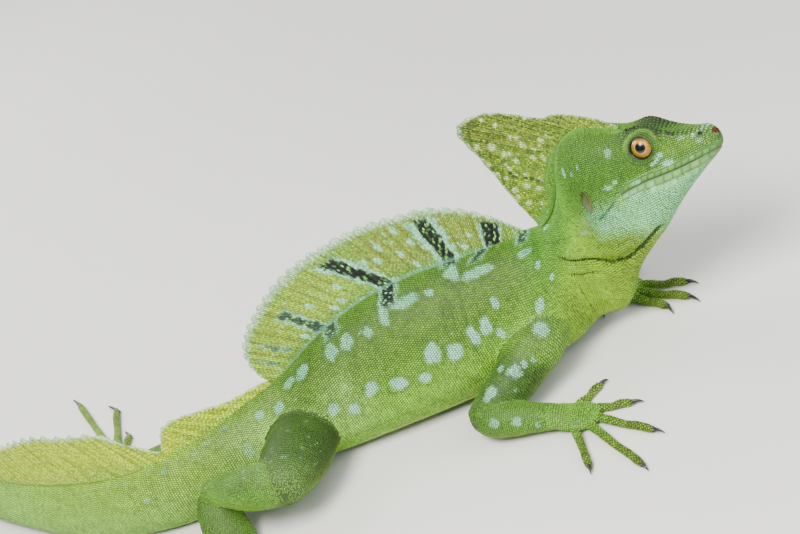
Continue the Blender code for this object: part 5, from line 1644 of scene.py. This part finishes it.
def make_plates():
    """Lip plates: each a small pillow of seven by five points on the skin, its height
    (1-u^6)(1-w^6), closed below."""
    verts, colours, faces, places, count = [], [], [], [], 0
    u, w = np.meshgrid(np.linspace(-1, 1, 7), np.linspace(-1, 1, 5), indexing="ij")
    rim, parts = pillow_faces()
    lift = ((1 - u ** 6) * (1 - w ** 6)).ravel()[:, None] * PLATE_HEIGHT + PLATE_RIM
    local = np.stack([u.ravel(), w.ravel()], -1) * PLATE_PATCH
    rows = [(side, row, k) for side in (1, -1) for row, plates in enumerate(PLATE_ROWS)
            for k in range(plates[4])]
    for side, row, k in rows:
        low, high, s_first, s_last, plates = PLATE_ROWS[row]
        s0, s1 = np.linspace(s_first, s_last, plates + 1)[k:k + 2]
        s = 0.5 * (s0 + s1) + u * 0.5 * ((s1 - s0) - PLATE_GAP) + (w * 0.3 if low > 0 else -w * 0.45)
        x = np.interp(s, (185, 194, 203, 212, 221, 230), (9, 18.5, 27.2, 36, 45, 53))
        lower, upper = plate_edge(low, x), plate_edge(high, x)
        d = lower + (upper - lower) * (0.5 + 0.5 * w)
        d = d * np.interp(s, (190, 222, 230), (1, 1, 0.8))
        p = mouth_places(s.ravel(), d.ravel(), side)
        base, out = places_found([SHARED["tree"].find_nearest(Vector(f)) for f in placed(p).tolist()])
        out = unit(out.reshape(7, 5, 3).mean((0, 1)))
        under = base[rim] - out * PLATE_DEPTH
        c = body_colour(s.ravel(), np.full(35, side * 1.9), base) * 0.7
        c = c * (1 + 0.12 * np.sin(k * 2.3 + side + row))
        spot = np.array([0.05 + 0.9 * (k + 0.5) / plates, 0.5 + 0.24 * side + 0.04 * row - 0.06])
        verts += [base + out * lift, under, under.mean(0)[None]]
        # plates darker toward their rim, their walls and floor darker still: painted shade
        colours += [c * (0.6 + 0.4 * lift / (PLATE_HEIGHT + PLATE_RIM)), c[rim] * 0.4, c[:1] * 0.4]
        places += [spot + local, spot + local[rim], spot[None]]
        faces += [face for part in parts for face in (part + count).tolist()]
        count += 36 + len(rim)
    mesh = new_mesh("lip_plates", np.concatenate(verts), faces)
    outward(mesh)
    set_colour(mesh, np.concatenate(colours))
    set_bake_map(mesh, np.concatenate(places))
    finish_piece("lip_plates", mesh, scale_keratin, "throat_pale")


# Eyes, claws and stage

def new_eye(side, name):
    """Eyeball: circles round the outward line, its depth the sphere's, with a low
    cornea over iris and pupil; the colour follows the distance from that line."""
    angle = np.radians(np.concatenate([np.linspace(1, 24, 24), np.linspace(26, 64, 26),
                                       np.linspace(68, 176, 24)]))
    angle, around = lattice(angle, circle(64))
    radius = EYE_RADIUS + CORNEA * np.exp(-(np.degrees(angle) / 30) ** 4)
    flat = radius * np.sin(angle)
    turn, tilt = math.radians(GAZE), math.radians(GAZE_UP)
    x, y, z = flat * np.cos(around), radius * np.cos(angle), flat * np.sin(around)
    y, z = y * math.cos(tilt) - z * math.sin(tilt), z * math.cos(tilt) + y * math.sin(tilt)
    p = np.stack([EYE_PLACE[0] + x * math.cos(turn) + y * math.sin(turn),
                  side * (EYE_PLACE[1] + y * math.cos(turn) - x * math.sin(turn)),
                  EYE_PLACE[2] + z], -1)
    mesh = tube_mesh("eye_" + name, from_head(p))
    r = EYE_RADIUS * np.sin(angle)
    streak = 0.5 + 0.5 * np.sin(around * 23 + 2 * np.sin(around * 7) + r * 1.5)
    c = layers("iris", ("iris_streak", streak * 0.6), ("iris_dark", bell(r, 3.2, 0.35) * 0.4),
               ("iris_ring", bell(r, PUPIL_RADIUS + 0.3, 0.2) * 0.8), ("iris_rim", rise(r, 3.75, 0.12)),
               ("pupil", 1 - rise(r, PUPIL_RADIUS, 0.09)))
    c = np.where((np.degrees(angle) > 66)[..., None], PAINT["eye_back"], c).reshape(-1, 3)
    set_colour(mesh, np.concatenate([c, PAINT["pupil_middle"][None], PAINT["eye_back"][None]]))
    finish_piece("eyeball_" + name, mesh, wet_eye, "eye_orange", "eye_" + name)


PUPIL_RADIUS = 1.85
CORNEA = 0.28             # height of the cornea over the eyeball
GAZE, GAZE_UP = 9, 4      # the eyes look this many degrees forward and up
CLAW_OVER_FLOOR = 0.1


def new_claws():
    """All claws in one piece: tapering tubes along their curved middle lines."""
    verts, faces, count = [], [], 0
    for hand in HANDS:
        for _, rows in digits_of(hand):
            p = tube_at(rows, *tube_net(rows, 14, 12))
            p[..., 2] = np.maximum(p[..., 2], CLAW_OVER_FLOOR)
            verts.append(tube_points(p))
            faces += tube_faces(14, 12, count)
            count += len(verts[-1])
    mesh = new_mesh("claws", np.concatenate(verts), faces)
    outward(mesh)
    finish_piece("claws", mesh, claw_horn, "toe_olive")


# Camera, in the floor's frame: place in millimetres and turns in degrees
CAMERA_PLACE = (342.5, -615.6, 419.8)
CAMERA_AZIMUTH, CAMERA_ELEVATION, CAMERA_ROLL = 14, 30, 30


# Lights: place, target, size, share of the key light's power, colour
LIGHTS = (
    ("key_light", (60, -420, 760), (40, -20, 30), 420, 1, (1, 0.97, 0.92)),
    ("fill_light", (620, -300, 420), (60, 0, 20), 700, 0.3, (0.93, 0.97, 1)),
    ("back_light", (-300, 520, 520), (0, 0, 30), 600, 0.5, (1, 1, 0.96)),
)
WORLD_STRENGTH = 0.36
FLOOR_RADIUS = 3000


def camera_axes():
    """The camera's right, up and back directions: azimuth, elevation, then a roll."""
    a, e, r = (math.radians(d) for d in (CAMERA_AZIMUTH, CAMERA_ELEVATION, CAMERA_ROLL))
    back = Vector((math.sin(a) * math.cos(e), -math.cos(a) * math.cos(e), math.sin(e)))
    right = Vector((math.cos(a), math.sin(a), 0))
    up = back.cross(right)
    return (right * math.cos(r) - up * math.sin(r), right * math.sin(r) + up * math.cos(r), back)


def new_light(name, place, target, size, power, colour):
    """Square area light at a place, turned to a target; millimetres and watts."""
    data = bpy.data.lights.new(name, "AREA")
    data.shape = "SQUARE"
    data.size = size * MM
    data.energy = power
    data.color = colour
    obj = bpy.data.objects.new(name, data)
    obj.location = Vector(place) * MM
    aim = (Vector(place) - Vector(target)) * MM
    obj.rotation_euler = aim.to_track_quat("Z", "Y").to_euler()
    bpy.context.scene.collection.objects.link(obj)


def new_stage(lens, key_power):
    """Floor disc, three soft lights, a pale world and the camera."""
    ring = circle(96)
    floor = np.stack([FLOOR_RADIUS * np.cos(ring), FLOOR_RADIUS * np.sin(ring), np.full(96, -0.02)], -1)
    mesh = bpy.data.meshes.new("floor")
    mesh.from_pydata((floor * MM).tolist(), [], [list(range(96))])
    mesh.materials.append(material(studio_floor))
    link("floor", mesh)
    for name, place, target, size, share, colour in LIGHTS:
        new_light(name, place, target, size, key_power * share, colour)
    world = bpy.context.scene.world or bpy.data.worlds.new("studio")
    bpy.context.scene.world = world
    world.use_nodes = True
    for node in world.node_tree.nodes:
        if node.type == "BACKGROUND":
            node.inputs["Color"].default_value = (*linear("#e9eef2"), 1)
            node.inputs["Strength"].default_value = WORLD_STRENGTH
    data = bpy.data.cameras.new("camera")
    data.lens = lens
    data.sensor_width = 36
    camera = bpy.data.objects.new("camera", data)
    turn = Matrix(camera_axes()).transposed().to_4x4()
    camera.matrix_world = Matrix.Translation(Vector(CAMERA_PLACE) * MM) @ turn
    bpy.context.scene.collection.objects.link(camera)
    bpy.context.scene.camera = camera


# Materials

def add_node(tree, kind, settings=None, **links):
    """Add a node, set its fields and sockets by name, and link outputs to its sockets."""
    node = tree.nodes.new(kind)
    for key, value in (settings or {}).items():
        if key in node.inputs:
            node.inputs[key].default_value = value
        else:
            setattr(node, key, value)
    for key, source in links.items():
        tree.links.new(source, node.inputs[key.replace("_", " ")])
    return node


def new_material(name, roughness, scale, detail, settings=None):
    """Material with its output and Principled shader, the place of its points and a
    noise over the object."""
    mat = bpy.data.materials.new(name)
    mat.use_nodes = True
    tree = mat.node_tree
    tree.nodes.clear()
    shader = add_node(tree, "ShaderNodeBsdfPrincipled", {"Roughness": roughness, **(settings or {})})
    add_node(tree, "ShaderNodeOutputMaterial", Surface=shader.outputs["BSDF"])
    place = add_node(tree, "ShaderNodeTexCoord").outputs["Object"]
    noise = add_node(tree, "ShaderNodeTexNoise", {"Scale": scale, "Detail": detail}, Vector=place)
    return mat, tree, shader, place, noise.outputs["Fac"]


def shaded_coat(tree, shader, noise, low, high):
    """Base colour: the attribute coat, made lighter and darker by the noise."""
    coat = add_node(tree, "ShaderNodeAttribute", {"attribute_name": "coat"})
    light = add_node(tree, "ShaderNodeMapRange", {"To Min": low, "To Max": high}, Value=noise)
    shade = add_node(tree, "ShaderNodeVectorMath", {"operation": "SCALE"},
                     Vector=coat.outputs["Color"], Scale=light.outputs["Result"])
    tree.links.new(shade.outputs["Vector"], shader.inputs["Base Color"])


def ramp_colour(tree, shader, noise, stops):
    """Base colour: two colours that the noise goes through, each (position, code)."""
    ramp = add_node(tree, "ShaderNodeValToRGB", Fac=noise)
    for stop, (at, code) in zip(ramp.color_ramp.elements, stops):
        stop.position = at
        stop.color = (*linear(code), 1)
    tree.links.new(ramp.outputs["Color"], shader.inputs["Base Color"])


def dented(tree, shader, noise, strength, depth):
    """Bump of the given strength and depth in millimetres."""
    dent = add_node(tree, "ShaderNodeBump", {"Strength": strength, "Distance": depth * MM}, Height=noise)
    tree.links.new(dent.outputs["Normal"], shader.inputs["Normal"])


def coat_material(name, grain, depth, roughness, ior, weight, spread, red, more=None):
    """Colour from the attribute coat, broken by noise of the given grain, a fine bump,
    both in millimetres, and light that enters by weight and spread."""
    mat, tree, shader, place, noise = new_material(name, roughness, 1.0 / (grain * MM), 4.0, {
        "IOR": ior, "Subsurface Weight": weight, "Subsurface Scale": spread,
        "Subsurface Radius": (red, 1.0, 0.4), **(more or {})})
    shaded_coat(tree, shader, noise, 0.78, 1.22)
    rough = add_node(tree, "ShaderNodeMapRange", {"To Min": roughness - 0.08, "To Max": roughness + 0.1},
                     Value=noise)
    tree.links.new(rough.outputs["Result"], shader.inputs["Roughness"])
    fine = add_node(tree, "ShaderNodeTexNoise", {"Scale": 4.0 / (grain * MM), "Detail": 2.0}, Vector=place)
    dented(tree, shader, fine.outputs["Fac"], 0.5, depth)
    return mat


def scale_keratin():
    """Keratin of small lizard scales, grown not polished: dry, with a low satin shine
    along each scale's ridge and a faint light through the thin edge."""
    return coat_material("scale_keratin", 0.5, 0.03, 0.44, 1.5, 0.06, 0.001, 0.6,
                         {"Specular IOR Level": 0.32})


def soft_skin():
    """Soft skin between the scales: matt, finely wrinkled and a little darker."""
    return coat_material("soft_skin", 0.7, 0.06, 0.55, 1.45, 0.1, 0.0015, 0.7)


def crest_membrane():
    """Thin skin of the sails stretched between bony rays: lets light through."""
    return coat_material("crest_membrane", 0.8, 0.08, 0.5, 1.45, 0.3, 0.0015, 0.9)


def claw_horn():
    """Dark horn of the claws, worn smooth: deep brown, mottled with a paler brown."""
    mat, tree, shader, _, noise = new_material("claw_horn", 0.3, 1 / (1.2 * MM), 3.0, {"IOR": 1.54})
    ramp_colour(tree, shader, noise, ((0.3, "#0c0d09"), (0.75, "#262a1c")))
    dented(tree, shader, noise, 0.3, 0.03)
    return mat


def wet_eye():
    """Iris under a wet cornea: orange-brown with fine dark flecks that run outward, a
    dark rim and a round black pupil, under one clear glossy coat."""
    mat, tree, shader, _, noise = new_material("wet_eye", 0.25, 1 / (0.45 * MM), 5.0, {
        "IOR": 1.38, "Coat Weight": 1.0, "Coat Roughness": 0.03, "Coat IOR": 1.38})
    shaded_coat(tree, shader, noise, 0.55, 1.4)
    return mat


def studio_floor():
    """Matt painted board, pale warm grey with a faint mottle."""
    mat, tree, shader, _, noise = new_material("studio_floor", 0.75, 6.0, 3.0)
    ramp_colour(tree, shader, noise, ((0.0, "#cbcac6"), (1.0, "#d2d1cd")))
    return mat


MATERIALS = {}


def material(make):
    """The material that a function makes, made once."""
    if make.__name__ not in MATERIALS:
        MATERIALS[make.__name__] = make()
    return MATERIALS[make.__name__]


def finish_piece(name, mesh, make, slot, *nodes):
    """Smooth object of a mesh with its material, ride and the nodes that it replaces;
    the slot is not used."""
    mesh.shade_smooth()
    mesh.materials.clear()
    mesh.materials.append(material(make))
    obj = link(name, mesh)
    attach(obj, "root")
    if nodes:
        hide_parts(*nodes)


# Settings

class BasiliskSkin(bpy.types.PropertyGroup):
    """Sizes of skin and scales"""
    scale_width: bpy.props.FloatProperty(
        name="Scale width", description="Width of a scale on the flank",
        default=0.00095, min=0.0006, max=0.003, unit="LENGTH")
    scale_lift: bpy.props.FloatProperty(
        name="Scale lift", description="How far a scale's rear edge stands off the skin",
        default=0.0003, min=0.0001, max=0.001, unit="LENGTH")


class BasiliskStage(bpy.types.PropertyGroup):
    """Sizes of floor, lights and camera"""
    lens: bpy.props.FloatProperty(
        name="Lens", description="Focal length of the camera in millimetres",
        default=85.0, min=20.0, max=300.0)
    key_power: bpy.props.FloatProperty(
        name="Key light", description="Power of the soft key light in watts",
        default=17.4, min=0.0, max=200.0)


# Operators

FLESH = ("head", "lower_jaw", "neck", "chest", "abdomen", "tail_base", "tail_middle",
         "tail_rear", "tail_tip", "right_upper_arm", "right_forearm", "right_hand",
         "left_upper_arm", "left_forearm", "left_hand", "right_thigh", "right_shin",
         "right_foot", "left_thigh", "left_shin", "left_foot")

SHARED = {}               # the finished skin and its search tree, passed between steps


class BASILISK_OT_skin(bpy.types.Operator):
    """Skin of head, trunk, tail and limbs in one piece"""
    bl_idname = "basilisk.skin"
    bl_label = "Skin"

    def execute(self, context):
        SHARED["skin"] = skin_mesh()
        finish_piece("skin", SHARED["skin"], soft_skin, "body_green", *FLESH)
        return {"FINISHED"}


class BASILISK_OT_scales(bpy.types.Operator):
    """Scales over the skin, and the skin's colours under them"""
    bl_idname = "basilisk.scales"
    bl_label = "Scales"

    def execute(self, context):
        settings = context.scene.basilisk_skin
        make_coat(settings.scale_width / MM, settings.scale_lift / MM)
        return {"FINISHED"}


class BASILISK_OT_plates(bpy.types.Operator):
    """Lip plates along the mouth"""
    bl_idname = "basilisk.plates"
    bl_label = "Lip plates"

    def execute(self, context):
        make_plates()
        return {"FINISHED"}


class BASILISK_OT_sails(bpy.types.Operator):
    """Sails of head, back and tail with their rays"""
    bl_idname = "basilisk.sails"
    bl_label = "Sails"

    def execute(self, context):
        new_sail("head", ("head_crest",), 220, 30)
        new_sail("back", ("dorsal_crest",), 420, 30)
        new_sail("tail", ("tail_crest_front", "tail_crest_middle", "tail_crest_rear"), 560, 22)
        return {"FINISHED"}


class BASILISK_OT_eyes(bpy.types.Operator):
    """Two eyeballs with orange iris and round pupil"""
    bl_idname = "basilisk.eyes"
    bl_label = "Eyes"

    def execute(self, context):
        new_eye(1, "left")
        new_eye(-1, "right")
        return {"FINISHED"}


class BASILISK_OT_claws(bpy.types.Operator):
    """Claws of all twenty digits"""
    bl_idname = "basilisk.claws"
    bl_label = "Claws"

    def execute(self, context):
        new_claws()
        return {"FINISHED"}


class BASILISK_OT_stage(bpy.types.Operator):
    """Pale floor, soft lights and the camera"""
    bl_idname = "basilisk.stage"
    bl_label = "Stage"

    def execute(self, context):
        settings = context.scene.basilisk_stage
        new_stage(settings.lens, settings.key_power)
        return {"FINISHED"}


class BASILISK_PT_panel(bpy.types.Panel):
    """Steps and sizes of the basilisk"""
    bl_idname = "BASILISK_PT_panel"
    bl_label = "Basilisk"
    bl_space_type = "VIEW_3D"
    bl_region_type = "UI"
    bl_category = "Basilisk"

    def draw(self, context):
        column = self.layout.column()
        for name in ("scale_width", "scale_lift"):
            column.prop(context.scene.basilisk_skin, name)
        for name in ("lens", "key_power"):
            column.prop(context.scene.basilisk_stage, name)
        for step in STEPS:
            column.operator("basilisk." + step)


STEPS = ("skin", "scales", "plates", "sails", "eyes", "claws", "stage")

CLASSES = (BasiliskSkin, BasiliskStage, BASILISK_OT_skin, BASILISK_OT_scales,
           BASILISK_OT_plates, BASILISK_OT_sails, BASILISK_OT_eyes, BASILISK_OT_claws,
           BASILISK_OT_stage, BASILISK_PT_panel)


def register():
    for cls in CLASSES:
        bpy.utils.register_class(cls)
    bpy.types.Scene.basilisk_skin = bpy.props.PointerProperty(type=BasiliskSkin)
    bpy.types.Scene.basilisk_stage = bpy.props.PointerProperty(type=BasiliskStage)


def unregister():
    del bpy.types.Scene.basilisk_stage
    del bpy.types.Scene.basilisk_skin
    for cls in reversed(CLASSES):
        bpy.utils.unregister_class(cls)


def main():
    """Register the add-on and run its steps in order."""
    register()
    for step in STEPS:
        getattr(bpy.ops.basilisk, step)()


if __name__ == "__main__":
    main()
